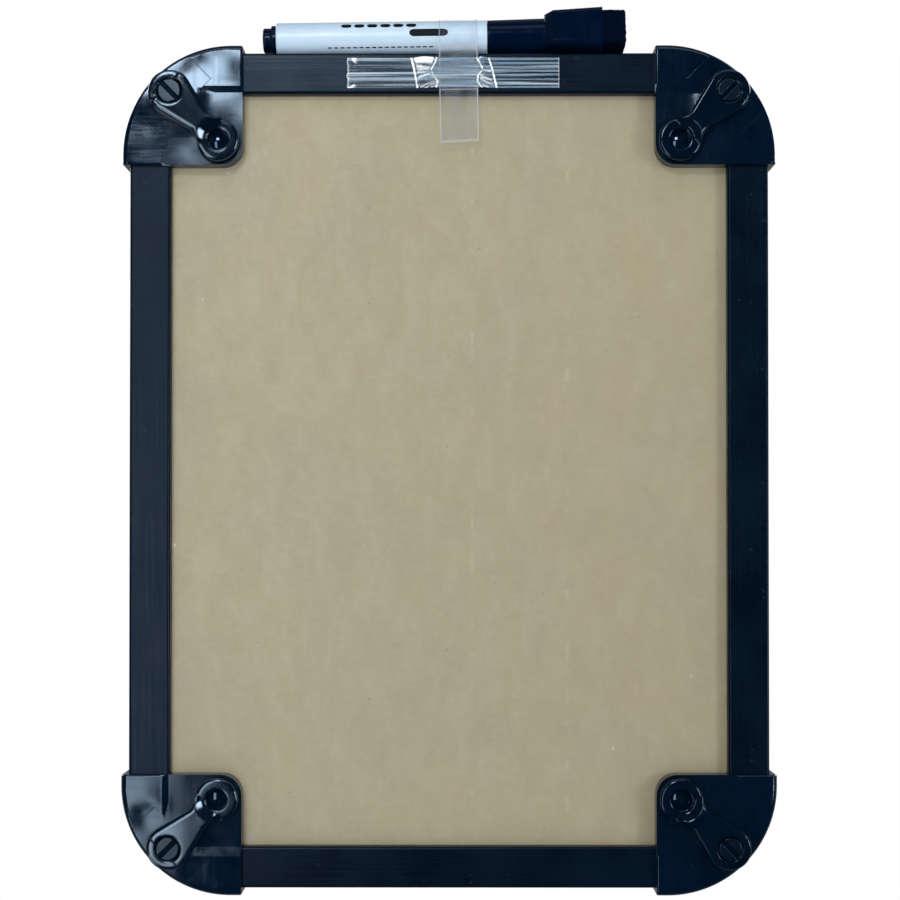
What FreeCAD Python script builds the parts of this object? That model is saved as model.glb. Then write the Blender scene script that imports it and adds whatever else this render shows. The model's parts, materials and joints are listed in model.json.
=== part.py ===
import FreeCAD, Part
import math
import os

# A framed magnetic whiteboard seen from behind: x to the right, z up, y from the wall to the writing face.
# The origin is the middle of the wall plane, which the hanger tabs touch. Lengths are millimetres.

# Board, measured over the corner mouldings
board_width = 215.5
board_height = 280.0

# Fits
seat_clearance = 0.1
film_clearance = 0.05
running_clearance = 0.06
tab_gap = 0.2
cut_overrun = 3.0

# Hanger tabs
tab_reach = 22.4
tab_pivot_radius = 7.2
tab_ring_radius = 7.0
tab_hole_radius = 3.4
tab_hole_bevel = 0.3
tab_blend_radius = 5.0
tab_taper_angle = 14.0
tab_plate = 1.8
tab_pad_rise = 1.4
tab_pad_behind = 1.3
tab_pad_back_slope = 0.8
tab_pad_end = 16.6
tab_pad_slope = 2.6
tab_scoop_radius = 4.6
tab_pad_round = 1.2
tab_plate_round = 1.0

# Slotted rivets that the tabs turn on
rivet_head_radius = 3.8
rivet_head_thickness = 1.35
rivet_head_sink = 0.45
rivet_head_round = 0.35
rivet_head_room = 0.5
rivet_slot_width = 1.5
rivet_slot_depth = 1.0
rivet_shank_radius = 2.6
rivet_grip = 4.6
rivet_tip_bevel = 0.5

# Frame rails, one extruded section
rail_face = 13.5
rail_back_lip = 3.8
rail_front_lip = 3.6
rail_wall = 1.3
rail_slot_depth = 4.0
rail_slot_end_gap = 0.3
rail_edge_round = 0.9
rail_stop = 24.0

# Panel
backing_thickness = 3.0
sheet_thickness = 0.4
panel_snip = 8.0

# Corner mouldings
corner_proud = 2.3
corner_back_wall = 2.0
corner_front_wall = 1.6
corner_arm = 39.7
corner_radius = 36.0
corner_inner_radius = 7.0
corner_rim_round = 2.0
corner_inner_round = 0.7
corner_front_lap = 1.5
corner_plate = 1.8
corner_pocket_round = 3.0
pivot_inset = 16.0

# Shallow marks on the back of a corner moulding
recess_depth = 0.65
recess_reach = 9.0
recess_lean = 2.4
recess_ramp = 9.0
recess_skim = 0.02
recess_ring_radius = 5.4
witness_depth = 0.14
witness_lean = 0.3
witness_half_width = 12.6
witness_reach = 6.0
ejector_radius = 2.0
ejector_depth = 0.3
ejector_near = 4.9
ejector_far = 7.0
dome_radius = 2.8
dome_gap = 0.3

# Marker: barrel and what is inside it
barrel_radius = 5.65
barrel_wall = 0.9
barrel_length = 70.0
barrel_edge_round = 0.4
collar_radius = 4.85
collar_length = 1.6
plug_radius = 4.05
plug_length = 2.9
plug_round = 0.6
plug_stem_length = 6.0
reservoir_radius = 4.35
nib_holder_insert = 8.0
nib_seat_radius = 4.5
nib_seat_length = 9.0
nib_cone_length = 9.0
nib_radius = 2.05
nib_sleeve_wall = 0.85
nib_shoulder = 3.0
nib_tip = 2.2
nib_tip_flat = 0.5

# Marker cap with its magnet housing and felt eraser
cap_joint_gap = 0.2
cap_end_radius = 6.1
cap_length = 38.0
cap_bore_length = 19.0
cap_nose_radius = 3.0
cap_nose_length = 6.5
cap_nose_taper = 1.8
housing_bevel = 2.7
housing_half_width = 5.9
housing_half_width_end = 6.6
housing_rise = 8.5
housing_rise_end = 9.0
housing_corner_round = 1.2
housing_turn = 8.5
magnet_length = 13.9
magnet_width = 9.2
magnet_thickness = 2.0
magnet_from_axis = 5.2
magnet_end_wall = 2.3
felt_length = 7.7
felt_half_width = 5.8
felt_rise = 8.4
felt_round = 1.0

# How the marker lies on the top rail
marker_joint_x = 12.6
marker_behind = 5.8
marker_lift = 0.05
marker_tilt = 0.73

# Clear strap and tape
strap_width = 12.5
strap_centre = 3.0
strap_film = 0.3
strap_loop_gap = 0.3
strap_tail_drop = 29.7
tape_length = 70.0
tape_height = 10.0
tape_film = 0.2
tape_centre = 1.4
tape_below_rail_top = 1.7
tape_tent = 8.5
tape_tent_room = 0.3

# Depths, counted from the wall
tab_underside = tab_pad_rise + tab_plate
corner_back = tab_underside + tab_gap
rail_back = corner_back + corner_back_wall
panel_back = rail_back + rail_back_lip
sheet_back = panel_back + backing_thickness
panel_front = sheet_back + sheet_thickness
rail_front = panel_front + rail_front_lip
corner_front = rail_front + corner_front_wall
counterbore_floor = rivet_head_sink + rivet_head_thickness + seat_clearance

# Insets from the outer edges of the board
rail_inner = corner_proud + rail_face
panel_edge = rail_inner - rail_slot_depth
diagonal_share = math.sqrt(0.5)
ring_inset = pivot_inset + tab_reach * diagonal_share

# The cap's housing is as long as its magnet needs
housing_start = cap_length - magnet_length - magnet_end_wall - housing_bevel
housing_full = housing_start + housing_bevel

# The marker lies on the top rail, or on the corners where it is too long to lie between them
rail_top = board_height / 2 - corner_proud
barrel_end_x = marker_joint_x - barrel_length
marker_left = barrel_end_x - collar_length - plug_length
marker_right = marker_joint_x + cap_length + felt_length
between_corners = board_width / 2 - corner_arm
marker_fits = max(marker_right, -marker_left) < between_corners
marker_seat = rail_top if marker_fits else board_height / 2

# Marker axis over the middle of the strap, with the barrel's end low
marker_slope_share = math.tan(math.radians(marker_tilt))
marker_axis_y = rail_back + marker_behind
marker_climb = (strap_centre - barrel_end_x) * marker_slope_share
marker_axis_z = marker_seat + marker_lift + barrel_radius + marker_climb
strap_tail_end = rail_top - strap_tail_drop

origin = FreeCAD.Vector(0, 0, 0)
along_x = FreeCAD.Vector(1, 0, 0)
along_y = FreeCAD.Vector(0, 1, 0)
toward_wall = FreeCAD.Vector(0, -1, 0)

# Each corner's side in x and z, and its share of a full turn from the bottom left one, as seen from behind
corner_shares = {
    "bottom_left": (-1, -1, 0),
    "bottom_right": (1, -1, 0.25),
    "top_right": (1, 1, 0.5),
    "top_left": (-1, 1, 0.75),
}


def seen_from_behind(depth):
    """Turns a place (x, z) into a point at one depth."""
    return lambda x, z: FreeCAD.Vector(x, depth, z)


def seen_from_above(height):
    """Turns a place (x, y) into a point at one height."""
    return lambda x, y: FreeCAD.Vector(x, y, height)


def seen_from_end(x):
    """Turns a place (y, z) into a point in the plane across the marker at x."""
    return lambda y, z: FreeCAD.Vector(x, y, z)


def outline(plane, start, *steps):
    """Closed wire: a step of one place is a line to it, and one of two places an arc through the first."""
    edges = []
    here = plane(*start)
    for step in steps:
        stops = [plane(*place) for place in step]
        if len(stops) == 1:
            edges.append(Part.LineSegment(here, stops[0]).toShape())
        else:
            edges.append(Part.Arc(here, stops[0], stops[1]).toShape())
        here = stops[-1]
    return Part.Wire(edges)


def plate(wire, thickness):
    """Solid that fills a wire seen from behind and goes deeper by a thickness."""
    return Part.Face(wire).extrude(along_y * thickness)


def block(x0, x1, y0, y1, z0, z1):
    """Box between two corners."""
    return Part.makeBox(x1 - x0, y1 - y0, z1 - z0, FreeCAD.Vector(x0, y0, z0))


def stud(radius, y0, y1, x=0, z=0):
    """Cylinder that runs in depth."""
    return Part.makeCylinder(radius, y1 - y0, FreeCAD.Vector(x, y0, z), along_y)


def turned(start, *steps):
    """Solid turned about the marker's axis from an outline of places along it and out from it."""
    profile = Part.Face(outline(seen_from_behind(0), start, *steps))
    return profile.revolve(origin, along_x, 360)


def edges_at_depth(shape, depth):
    """Edges that lie in one plane parallel to the wall."""
    flat = []
    for edge in shape.Edges:
        box = edge.BoundBox
        if abs(box.YMin - depth) < seat_clearance and abs(box.YMax - depth) < seat_clearance:
            flat.append(edge)
    return flat


def middle_of(edge):
    """Point halfway along an edge."""
    return edge.valueAt((edge.FirstParameter + edge.LastParameter) / 2)


def at_corner(shape, spot):
    """Copy of a shape made for the bottom left corner, turned into another corner."""
    side_x, side_z, turn_share = corner_shares[spot]
    moved = shape.copy()
    moved.rotate(origin, toward_wall, 360 * turn_share)
    moved.translate(FreeCAD.Vector(side_x * board_width / 2, 0, side_z * board_height / 2))
    return moved


def on_pivot(shape):
    """Copy of a shape made along +x from the pivot, laid on the diagonal of the bottom left corner."""
    moved = shape.copy()
    moved.rotate(origin, toward_wall, 45)
    moved.translate(FreeCAD.Vector(pivot_inset, 0, pivot_inset))
    return moved


def tab_outline(depth):
    """Dog-bone outline: a round pivot end, tapering flanks, and hollow blends into the ring end."""
    taper = math.radians(tab_taper_angle)
    flank_normal = FreeCAD.Vector(math.sin(taper), 0, math.cos(taper))
    flank_run = FreeCAD.Vector(math.cos(taper), 0, -math.sin(taper))
    ring = FreeCAD.Vector(tab_reach, 0, 0)
    foot = flank_normal * (tab_pivot_radius + tab_blend_radius)
    from_ring = foot - ring
    lean = from_ring.dot(flank_run)
    spare = from_ring.dot(from_ring) - (tab_ring_radius + tab_blend_radius) ** 2
    blend = foot + flank_run * (-lean - math.sqrt(lean**2 - spare))
    flank_start = flank_normal * tab_pivot_radius
    flank_end = blend - flank_normal * tab_blend_radius
    ring_touch = ring + (blend - ring).normalize() * tab_ring_radius
    blend_middle = blend + (flank_end + ring_touch - blend * 2).normalize() * tab_blend_radius

    def upper(point):
        return (point.x, point.z)

    def lower(point):
        return (point.x, -point.z)

    return outline(
        seen_from_behind(depth),
        lower(flank_start),
        [(-tab_pivot_radius, 0), upper(flank_start)],
        [upper(flank_end)],
        [upper(blend_middle), upper(ring_touch)],
        [(tab_reach + tab_ring_radius, 0), lower(ring_touch)],
        [lower(blend_middle), lower(flank_end)],
        [lower(flank_start)],
    )


def hanger_tab():
    """Lever with a raised arm scooped out round its ring end, a counterbored pivot and a nail hole."""
    low = plate(tab_outline(tab_pad_rise), tab_plate)
    low = low.makeFillet(tab_plate_round, edges_at_depth(low, tab_pad_rise))
    full = plate(tab_outline(0), tab_underside)
    full = full.makeFillet(tab_pad_round, edges_at_depth(full, 0))
    wide = tab_pivot_radius + cut_overrun
    back_end = -tab_pad_behind - tab_pad_back_slope
    arm_side = outline(
        seen_from_above(-wide),
        (back_end, tab_pad_rise),
        [(-tab_pad_behind, 0)],
        [(tab_pad_end, 0)],
        [(tab_pad_end + tab_pad_slope, tab_pad_rise)],
        [(tab_pad_end + tab_pad_slope, tab_underside)],
        [(back_end, tab_underside)],
        [(back_end, tab_pad_rise)],
    )
    arm = Part.Face(arm_side).extrude(FreeCAD.Vector(0, 0, 2 * wide))
    scoop = Part.makeCone(
        tab_scoop_radius + 2 * tab_pad_slope,
        tab_scoop_radius,
        2 * tab_pad_rise,
        FreeCAD.Vector(tab_reach, -tab_pad_rise, 0),
        along_y,
    )
    tab = low.fuse(full.common(arm).cut(scoop)).removeSplitter()
    tab = tab.cut(stud(rivet_head_radius + rivet_head_room, -cut_overrun, counterbore_floor))
    tab = tab.cut(stud(rivet_shank_radius + running_clearance, 0, tab_underside + cut_overrun))
    nail_hole = stud(tab_hole_radius, 0, tab_underside + cut_overrun, tab_reach)
    mouth = Part.makeCone(
        tab_hole_radius + tab_hole_bevel,
        tab_hole_radius,
        tab_hole_bevel,
        FreeCAD.Vector(tab_reach, tab_pad_rise, 0),
        along_y,
    )
    return on_pivot(tab.cut(nail_hole.fuse(mouth)))


def tab_rivet():
    """Push rivet with a slotted head sunk in the tab and a shank pressed into the corner."""
    head_under = rivet_head_sink + rivet_head_thickness
    tip = corner_back + rivet_grip
    head = stud(rivet_head_radius, rivet_head_sink, head_under)
    head = head.makeFillet(rivet_head_round, edges_at_depth(head, rivet_head_sink))
    slot = block(
        -rivet_head_radius - cut_overrun,
        rivet_head_radius + cut_overrun,
        rivet_head_sink - cut_overrun,
        rivet_head_sink + rivet_slot_depth,
        -rivet_slot_width / 2,
        rivet_slot_width / 2,
    )
    shank = stud(rivet_shank_radius, head_under, tip)
    shank = shank.makeChamfer(rivet_tip_bevel, edges_at_depth(shank, tip))
    return on_pivot(head.cut(slot).fuse(shank).removeSplitter())


def corner_outline(depth):
    """Square with a wide round outer corner and a small round inner one."""
    outer_turn = corner_radius * (1 - diagonal_share)
    inner_end = corner_arm - corner_inner_radius
    inner_turn = corner_arm - corner_inner_radius * (1 - diagonal_share)
    return outline(
        seen_from_behind(depth),
        (corner_radius, 0),
        [(corner_arm, 0)],
        [(corner_arm, inner_end)],
        [(inner_turn, inner_turn), (inner_end, corner_arm)],
        [(0, corner_arm)],
        [(0, corner_radius)],
        [(outer_turn, outer_turn), (corner_radius, 0)],
    )


def rounded_corner_block():
    """Corner moulding before it is hollowed: broad rounds outside, small ones along the inner edges."""
    solid = plate(corner_outline(corner_back), corner_front - corner_back)
    for depth in (corner_back, corner_front):
        rim = []
        for edge in edges_at_depth(solid, depth):
            middle = middle_of(edge)
            if middle.x + middle.z < corner_arm:
                rim.append(edge)
        solid = solid.makeFillet(corner_rim_round, rim)
    inner = []
    for edge in edges_at_depth(solid, corner_back):
        middle = middle_of(edge)
        if max(middle.x, middle.z) > corner_arm - corner_inner_radius:
            inner.append(edge)
    return solid.makeFillet(corner_inner_round, inner)


def panel_slot():
    """Room in a corner for the panel's snipped corner."""
    edge = panel_edge - seat_clearance
    far = corner_arm + cut_overrun
    wire = outline(
        seen_from_behind(panel_back - seat_clearance),
        (edge + panel_snip, edge),
        [(far, edge)],
        [(far, far)],
        [(edge, far)],
        [(edge, edge + panel_snip)],
        [(edge + panel_snip, edge)],
    )
    return plate(wire, panel_front - panel_back + 2 * seat_clearance)


def rail_sockets():
    """Room in a corner for the ends of its two rails."""
    start = rail_stop - seat_clearance
    end = corner_arm + cut_overrun
    near = corner_proud - seat_clearance
    far = rail_inner + seat_clearance
    back = rail_back - seat_clearance
    front = rail_front + seat_clearance
    return block(start, end, back, front, near, far).fuse(block(near, far, back, front, start, end))


def underside_pocket():
    """Hollow behind the panel that keeps the moulding's wall even."""
    near = rail_inner + corner_plate
    far = corner_arm - corner_plate
    pocket = block(near, far, corner_back + recess_depth + corner_plate, panel_back, near, far)
    upright = [edge for edge in pocket.Edges if edge.BoundBox.YLength > corner_plate / 2]
    return pocket.makeFillet(corner_pocket_round, upright)


def leaning_room(start, floor, lean):
    """Room over a floor in a corner's back, past a soft wall that is hollow at its foot and round on top."""
    top = corner_back - recess_skim
    above = corner_back - cut_overrun
    far = corner_arm + cut_overrun
    half_run = lean / 2
    half_rise = (floor - top) / 2
    radius = (half_run**2 + half_rise**2) / (2 * half_rise)
    turn = math.atan(half_rise / half_run)
    reach = radius * math.sin(turn)
    dip = radius * (1 - math.cos(turn))
    side = outline(
        seen_from_above(-far),
        (start, floor),
        [(start - reach, floor - dip), (start - half_run, floor - half_rise)],
        [(start - lean + reach, top + dip), (start - lean, top)],
        [(start - lean, above)],
        [(far, above)],
        [(far, floor)],
        [(start, floor)],
    )
    return Part.Face(side).extrude(FreeCAD.Vector(0, 0, 2 * far))


def other_way(shape):
    """Copy of a shape with its x and z swapped."""
    return shape.mirror(origin, FreeCAD.Vector(1, 0, -1))


def finger_recess():
    """Shallow soft-sided step along the two inner edges, and room for the dome under the ring of the tab."""
    deep = corner_back + recess_depth
    above = corner_back - cut_overrun
    ramp = leaning_room(corner_arm - recess_reach, deep, recess_ramp)
    step = leaning_room(rail_inner, deep, recess_lean)
    arm = ramp.common(other_way(step))
    ring_room = stud(recess_ring_radius, above, deep, ring_inset, ring_inset)
    return arm.fuse([other_way(arm), ring_room])


def witness_mark():
    """Faint rectangular step that the mould leaves round the pivot, open to the outer edge."""
    floor = corner_back + witness_depth
    side = leaning_room(-witness_half_width, floor, witness_lean)
    band = side.common(side.rotated(origin, along_y, 180))
    across = band.rotated(origin, along_y, 90)
    end = leaning_room(-witness_reach, floor, witness_lean).rotated(origin, along_y, 180)
    return on_pivot(across.common(end))


def click_dome():
    """Low dome under the tab's ring."""
    floor = corner_back + recess_depth
    top = tab_underside + dome_gap
    rise = floor - top
    ball = (dome_radius**2 + rise**2) / (2 * rise)
    sphere = Part.makeSphere(ball, FreeCAD.Vector(ring_inset, top + ball, ring_inset))
    return sphere.common(stud(dome_radius, top - rise, floor + corner_plate / 2, ring_inset, ring_inset))


def corner_moulding():
    """Corner with rail sockets, panel slot, pivot hole and the marks on its back."""
    solid = rounded_corner_block()
    window = corner_arm - rail_inner - corner_front_lap
    solid = solid.cut(stud(window, panel_front, corner_front + cut_overrun, corner_arm, corner_arm))
    for room in (panel_slot(), rail_sockets(), underside_pocket(), finger_recess(), witness_mark()):
        solid = solid.cut(room)
    recess_floor = corner_back + recess_depth
    for across, up in ((ejector_near, -ejector_far), (-ejector_far, ejector_near)):
        mark = stud(
            ejector_radius,
            corner_back - cut_overrun,
            recess_floor + ejector_depth,
            ring_inset + across,
            ring_inset + up,
        )
        solid = solid.cut(mark)
    solid = solid.fuse(click_dome())
    grip = stud(
        rivet_shank_radius,
        corner_back - cut_overrun,
        corner_back + rivet_grip + seat_clearance,
        pivot_inset,
        pivot_inset,
    )
    return solid.cut(grip).removeSplitter()


def rail(length, half_span):
    """Hollow rail along the lower edge of a board of that half span, with a channel for the panel."""
    outer = corner_proud - half_span
    inner = outer + rail_face
    slot_end = inner - rail_slot_depth - rail_slot_end_gap
    body = block(-length / 2, length / 2, rail_back, rail_front, outer, inner)
    long_edges = [edge for edge in body.Edges if edge.BoundBox.XLength > length / 2]
    body = body.makeFillet(rail_edge_round, long_edges)
    past = length / 2 + cut_overrun
    channel = block(
        -past,
        past,
        panel_back - seat_clearance,
        panel_front + seat_clearance,
        slot_end,
        inner + cut_overrun,
    )
    chamber = block(
        -past,
        past,
        rail_back + rail_wall,
        rail_front - rail_wall,
        outer + rail_wall,
        slot_end - rail_wall,
    )
    return body.cut(channel).cut(chamber)


def panel(back, thickness):
    """Sheet that fills the rails' channels, with its corners snipped off."""
    half_x = board_width / 2 - panel_edge
    half_z = board_height / 2 - panel_edge
    snip_x = half_x - panel_snip
    snip_z = half_z - panel_snip
    wire = outline(
        seen_from_behind(back),
        (-snip_x, -half_z),
        [(snip_x, -half_z)],
        [(half_x, -snip_z)],
        [(half_x, snip_z)],
        [(snip_x, half_z)],
        [(-snip_x, half_z)],
        [(-half_x, snip_z)],
        [(-half_x, -snip_z)],
        [(-snip_x, -half_z)],
    )
    return plate(wire, thickness)


def marker_barrel():
    """Open tube from the end plug to the cap."""
    bore = barrel_radius - barrel_wall
    soft = barrel_edge_round * (1 - diagonal_share)
    return turned(
        (-barrel_length, bore),
        [(-barrel_length, barrel_radius - barrel_edge_round)],
        [
            (-barrel_length + soft, barrel_radius - soft),
            (-barrel_length + barrel_edge_round, barrel_radius),
        ],
        [(0, barrel_radius)],
        [(0, bore)],
        [(-barrel_length, bore)],
    )


def marker_end_plug():
    """Stepped plug that closes the barrel."""
    stem = barrel_radius - barrel_wall - seat_clearance
    collar = -barrel_length - collar_length
    end = collar - plug_length
    soft = plug_round * (1 - diagonal_share)
    return turned(
        (end, 0),
        [(end, plug_radius - plug_round)],
        [(end + soft, plug_radius - soft), (end + plug_round, plug_radius)],
        [(collar, plug_radius)],
        [(collar, collar_radius)],
        [(-barrel_length, collar_radius)],
        [(-barrel_length, stem)],
        [(-barrel_length + plug_stem_length, stem)],
        [(-barrel_length + plug_stem_length, 0)],
        [(end, 0)],
    )


def ink_reservoir():
    """Fibre core between the end plug and the nib."""
    start = -barrel_length + plug_stem_length + seat_clearance
    end = -nib_holder_insert - seat_clearance
    return Part.makeCylinder(reservoir_radius, end - start, FreeCAD.Vector(start, 0, 0), along_x)


def nib_holder():
    """Front section of the marker: a plug in the barrel, a seat for the cap and a cone round the nib."""
    bore = nib_radius + film_clearance
    insert = barrel_radius - barrel_wall - seat_clearance
    cone_end = nib_seat_length + nib_cone_length
    return turned(
        (-nib_holder_insert, bore),
        [(-nib_holder_insert, insert)],
        [(0, insert)],
        [(0, nib_seat_radius)],
        [(nib_seat_length, nib_seat_radius)],
        [(cone_end, nib_radius + nib_sleeve_wall)],
        [(cone_end, bore)],
        [(-nib_holder_insert, bore)],
    )


def marker_nib():
    """Bullet nib with its stem reaching the ink."""
    shoulder = nib_seat_length + nib_cone_length + nib_shoulder
    bend = nib_tip * diagonal_share
    swell = nib_tip_flat + (nib_radius - nib_tip_flat) * diagonal_share
    return turned(
        (-nib_holder_insert, 0),
        [(-nib_holder_insert, nib_radius)],
        [(shoulder, nib_radius)],
        [(shoulder + bend, swell), (shoulder + nib_tip, nib_tip_flat)],
        [(shoulder + nib_tip, 0)],
        [(-nib_holder_insert, 0)],
    )


def housing_section(x, half_width, rise):
    """U-shaped section of the cap's end: flat toward the wall, round on the far side."""
    soft = housing_corner_round * (1 - diagonal_share)
    flat = half_width - housing_corner_round
    side = housing_corner_round - rise
    return outline(
        seen_from_end(x),
        (-rise, -flat),
        [(-rise, flat)],
        [(soft - rise, half_width - soft), (side, half_width)],
        [(0, half_width)],
        [(half_width, 0), (0, -half_width)],
        [(side, -half_width)],
        [(soft - rise, soft - half_width), (-rise, -flat)],
    )


def housing_turned(shape):
    """Copy of a shape of the cap's end, turned about the marker so that its flat looks a little up."""
    moved = shape.copy()
    moved.rotate(origin, along_x, -housing_turn)
    return moved


def magnet_block(room):
    """Bar magnet, or the room for it, inside the flat side of the cap."""
    return block(
        cap_length - magnet_length - room,
        cap_length,
        -magnet_from_axis - magnet_thickness - room,
        -magnet_from_axis + room,
        -magnet_width / 2 - room,
        magnet_width / 2 + room,
    )


def marker_cap():
    """Drafted cap that ends in a square magnet housing."""
    sections = [
        housing_section(housing_start, barrel_radius, barrel_radius),
        housing_section(housing_full, housing_half_width, housing_rise),
        housing_section(cap_length, housing_half_width_end, housing_rise_end),
    ]
    housing = Part.makeLoft(sections, True, True)
    sleeve = turned(
        (cap_joint_gap, 0),
        [(cap_joint_gap, barrel_radius)],
        [(housing_full, cap_end_radius)],
        [(housing_full, 0)],
        [(cap_joint_gap, 0)],
    )
    seat = nib_seat_radius + seat_clearance
    nose_start = cap_bore_length + cap_nose_taper
    nose_end = nose_start + cap_nose_length
    bore = turned(
        (cap_joint_gap - cut_overrun, 0),
        [(cap_joint_gap - cut_overrun, seat)],
        [(cap_bore_length, seat)],
        [(nose_start, cap_nose_radius)],
        [(nose_end, cap_nose_radius)],
        [(nose_end, 0)],
        [(cap_joint_gap - cut_overrun, 0)],
    )
    magnet_room = magnet_block(seat_clearance).fuse(magnet_block(0).translated(along_x * cut_overrun))
    solid = housing_turned(housing.cut(magnet_room)).fuse(sleeve)
    return solid.cut(bore).removeSplitter()


def felt_eraser():
    """Felt pad on the end of the cap."""
    section = housing_section(cap_length, felt_half_width, felt_rise)
    pad = Part.Face(section).extrude(along_x * felt_length)
    end = cap_length + felt_length
    end_edges = [edge for edge in pad.Edges if edge.BoundBox.XMin > end - felt_round]
    return housing_turned(pad.makeFillet(felt_round, end_edges))


def on_top_rail(shape):
    """Copy of a marker piece, laid on the top rail with the marker's slight tilt."""
    moved = shape.copy()
    moved.rotate(origin, toward_wall, marker_tilt)
    joint_z = marker_axis_z + (marker_joint_x - strap_centre) * marker_slope_share
    moved.translate(FreeCAD.Vector(marker_joint_x, marker_axis_y, joint_z))
    return moved


def marker_strap():
    """Strap looped round the barrel, with its two layers joined in a tail down the back of the top rail."""
    inside = barrel_radius + strap_loop_gap
    start = strap_centre - strap_width / 2 - marker_joint_x
    loop = Part.makeCylinder(inside + strap_film, strap_width, FreeCAD.Vector(start, 0, 0), along_x)
    room = Part.makeCylinder(
        inside,
        strap_width + 2 * cut_overrun,
        FreeCAD.Vector(start - cut_overrun, 0, 0),
        along_x,
    )
    tail_front = rail_back - film_clearance
    tail = block(
        strap_centre - strap_width / 2,
        strap_centre + strap_width / 2,
        tail_front - 2 * strap_film,
        tail_front,
        strap_tail_end,
        marker_axis_z,
    )
    return on_top_rail(loop).fuse(tail).cut(on_top_rail(room)).removeSplitter()


def strap_tape():
    """Tape along the top rail that rises over the strap's tail."""
    flat = rail_back - film_clearance
    raised = flat - 2 * strap_film - film_clearance
    left = tape_centre - tape_length / 2
    right = tape_centre + tape_length / 2
    strap_left = strap_centre - strap_width / 2 - tape_tent_room
    strap_right = strap_centre + strap_width / 2 + tape_tent_room
    top = rail_top - tape_below_rail_top
    wire = outline(
        seen_from_above(top - tape_height),
        (left, flat),
        [(strap_left - tape_tent, flat)],
        [(strap_left, raised)],
        [(strap_right, raised)],
        [(strap_right + tape_tent, flat)],
        [(right, flat)],
        [(right, flat - tape_film)],
        [(strap_right + tape_tent, flat - tape_film)],
        [(strap_right, raised - tape_film)],
        [(strap_left, raised - tape_film)],
        [(strap_left - tape_tent, flat - tape_film)],
        [(left, flat - tape_film)],
        [(left, flat)],
    )
    return Part.Face(wire).extrude(FreeCAD.Vector(0, 0, tape_height))


def frame_pieces():
    """Rails and panel sheets."""
    across = (board_width - 2 * rail_stop, board_height / 2)
    upright = (board_height - 2 * rail_stop, board_width / 2)
    pieces = {
        "backing_board": panel(panel_back, backing_thickness),
        "writing_sheet": panel(sheet_back, sheet_thickness),
    }
    sides = {
        "rail_bottom": (across, 0),
        "rail_right": (upright, 90),
        "rail_top": (across, 180),
        "rail_left": (upright, 270),
    }
    for name, (span, turn) in sides.items():
        length, half_span = span
        pieces[name] = rail(length, half_span).rotated(origin, toward_wall, turn)
    return pieces


def corner_pieces():
    """Corner mouldings with their tabs and rivets."""
    pieces = {}
    makers = {"corner": corner_moulding(), "hanger_tab": hanger_tab(), "tab_rivet": tab_rivet()}
    for spot in corner_shares:
        for kind, shape in makers.items():
            pieces[f"{kind}_{spot}"] = at_corner(shape, spot)
    return pieces


def marker_pieces():
    """Marker, cap, strap and tape."""
    pieces = {
        "marker_barrel": marker_barrel(),
        "marker_end_plug": marker_end_plug(),
        "ink_reservoir": ink_reservoir(),
        "nib_holder": nib_holder(),
        "marker_nib": marker_nib(),
        "marker_cap": marker_cap(),
        "cap_magnet": housing_turned(magnet_block(0)),
        "felt_eraser": felt_eraser(),
    }
    laid = {name: on_top_rail(shape) for name, shape in pieces.items()}
    laid["marker_strap"] = marker_strap()
    laid["strap_tape"] = strap_tape()
    return laid


os.makedirs("parts", exist_ok=True)
for pieces in (frame_pieces(), corner_pieces(), marker_pieces()):
    for name, shape in pieces.items():
        shape.exportStep(f"parts/{name}.step")
        print(name, len(shape.Solids), shape.isValid(), round(shape.Volume, 1))
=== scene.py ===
"""Looks of a framed magnetic whiteboard with a strapped marker.

The board is seen from behind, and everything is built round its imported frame.
"""

import json
import logging
import math
import random
from dataclasses import dataclass, field, replace
from enum import Enum

import bmesh
import bpy
from mathutils import Matrix, Vector, noise

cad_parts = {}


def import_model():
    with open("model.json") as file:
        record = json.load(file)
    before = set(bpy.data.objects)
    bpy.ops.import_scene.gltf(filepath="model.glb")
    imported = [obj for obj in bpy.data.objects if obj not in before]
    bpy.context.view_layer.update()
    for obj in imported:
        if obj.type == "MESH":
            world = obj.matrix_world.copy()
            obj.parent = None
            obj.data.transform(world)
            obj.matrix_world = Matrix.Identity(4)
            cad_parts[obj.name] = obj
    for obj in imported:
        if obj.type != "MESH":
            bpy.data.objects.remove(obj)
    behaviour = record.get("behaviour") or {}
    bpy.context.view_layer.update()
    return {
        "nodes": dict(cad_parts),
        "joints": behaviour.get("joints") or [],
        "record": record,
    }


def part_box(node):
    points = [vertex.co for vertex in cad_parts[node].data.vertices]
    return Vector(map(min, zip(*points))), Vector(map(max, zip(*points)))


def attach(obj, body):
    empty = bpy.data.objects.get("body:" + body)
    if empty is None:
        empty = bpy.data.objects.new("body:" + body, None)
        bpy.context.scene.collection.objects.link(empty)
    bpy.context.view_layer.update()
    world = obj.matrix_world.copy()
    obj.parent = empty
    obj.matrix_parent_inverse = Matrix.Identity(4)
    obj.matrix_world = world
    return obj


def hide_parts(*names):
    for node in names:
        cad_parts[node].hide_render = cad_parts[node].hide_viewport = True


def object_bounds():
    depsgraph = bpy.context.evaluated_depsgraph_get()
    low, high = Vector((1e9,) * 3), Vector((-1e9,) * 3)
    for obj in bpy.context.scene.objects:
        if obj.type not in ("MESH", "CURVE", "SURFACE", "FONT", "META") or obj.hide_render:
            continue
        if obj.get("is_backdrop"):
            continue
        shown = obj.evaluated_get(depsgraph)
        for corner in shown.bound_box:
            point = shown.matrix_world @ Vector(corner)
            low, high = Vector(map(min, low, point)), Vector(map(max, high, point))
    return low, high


log = logging.getLogger("whiteboard")

Triple = tuple[float, float, float]
Colour = tuple[float, float, float]
Pair = tuple[float, float]
Ramp = tuple[float, float, float, float]
Socket = bpy.types.NodeSocket

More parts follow.
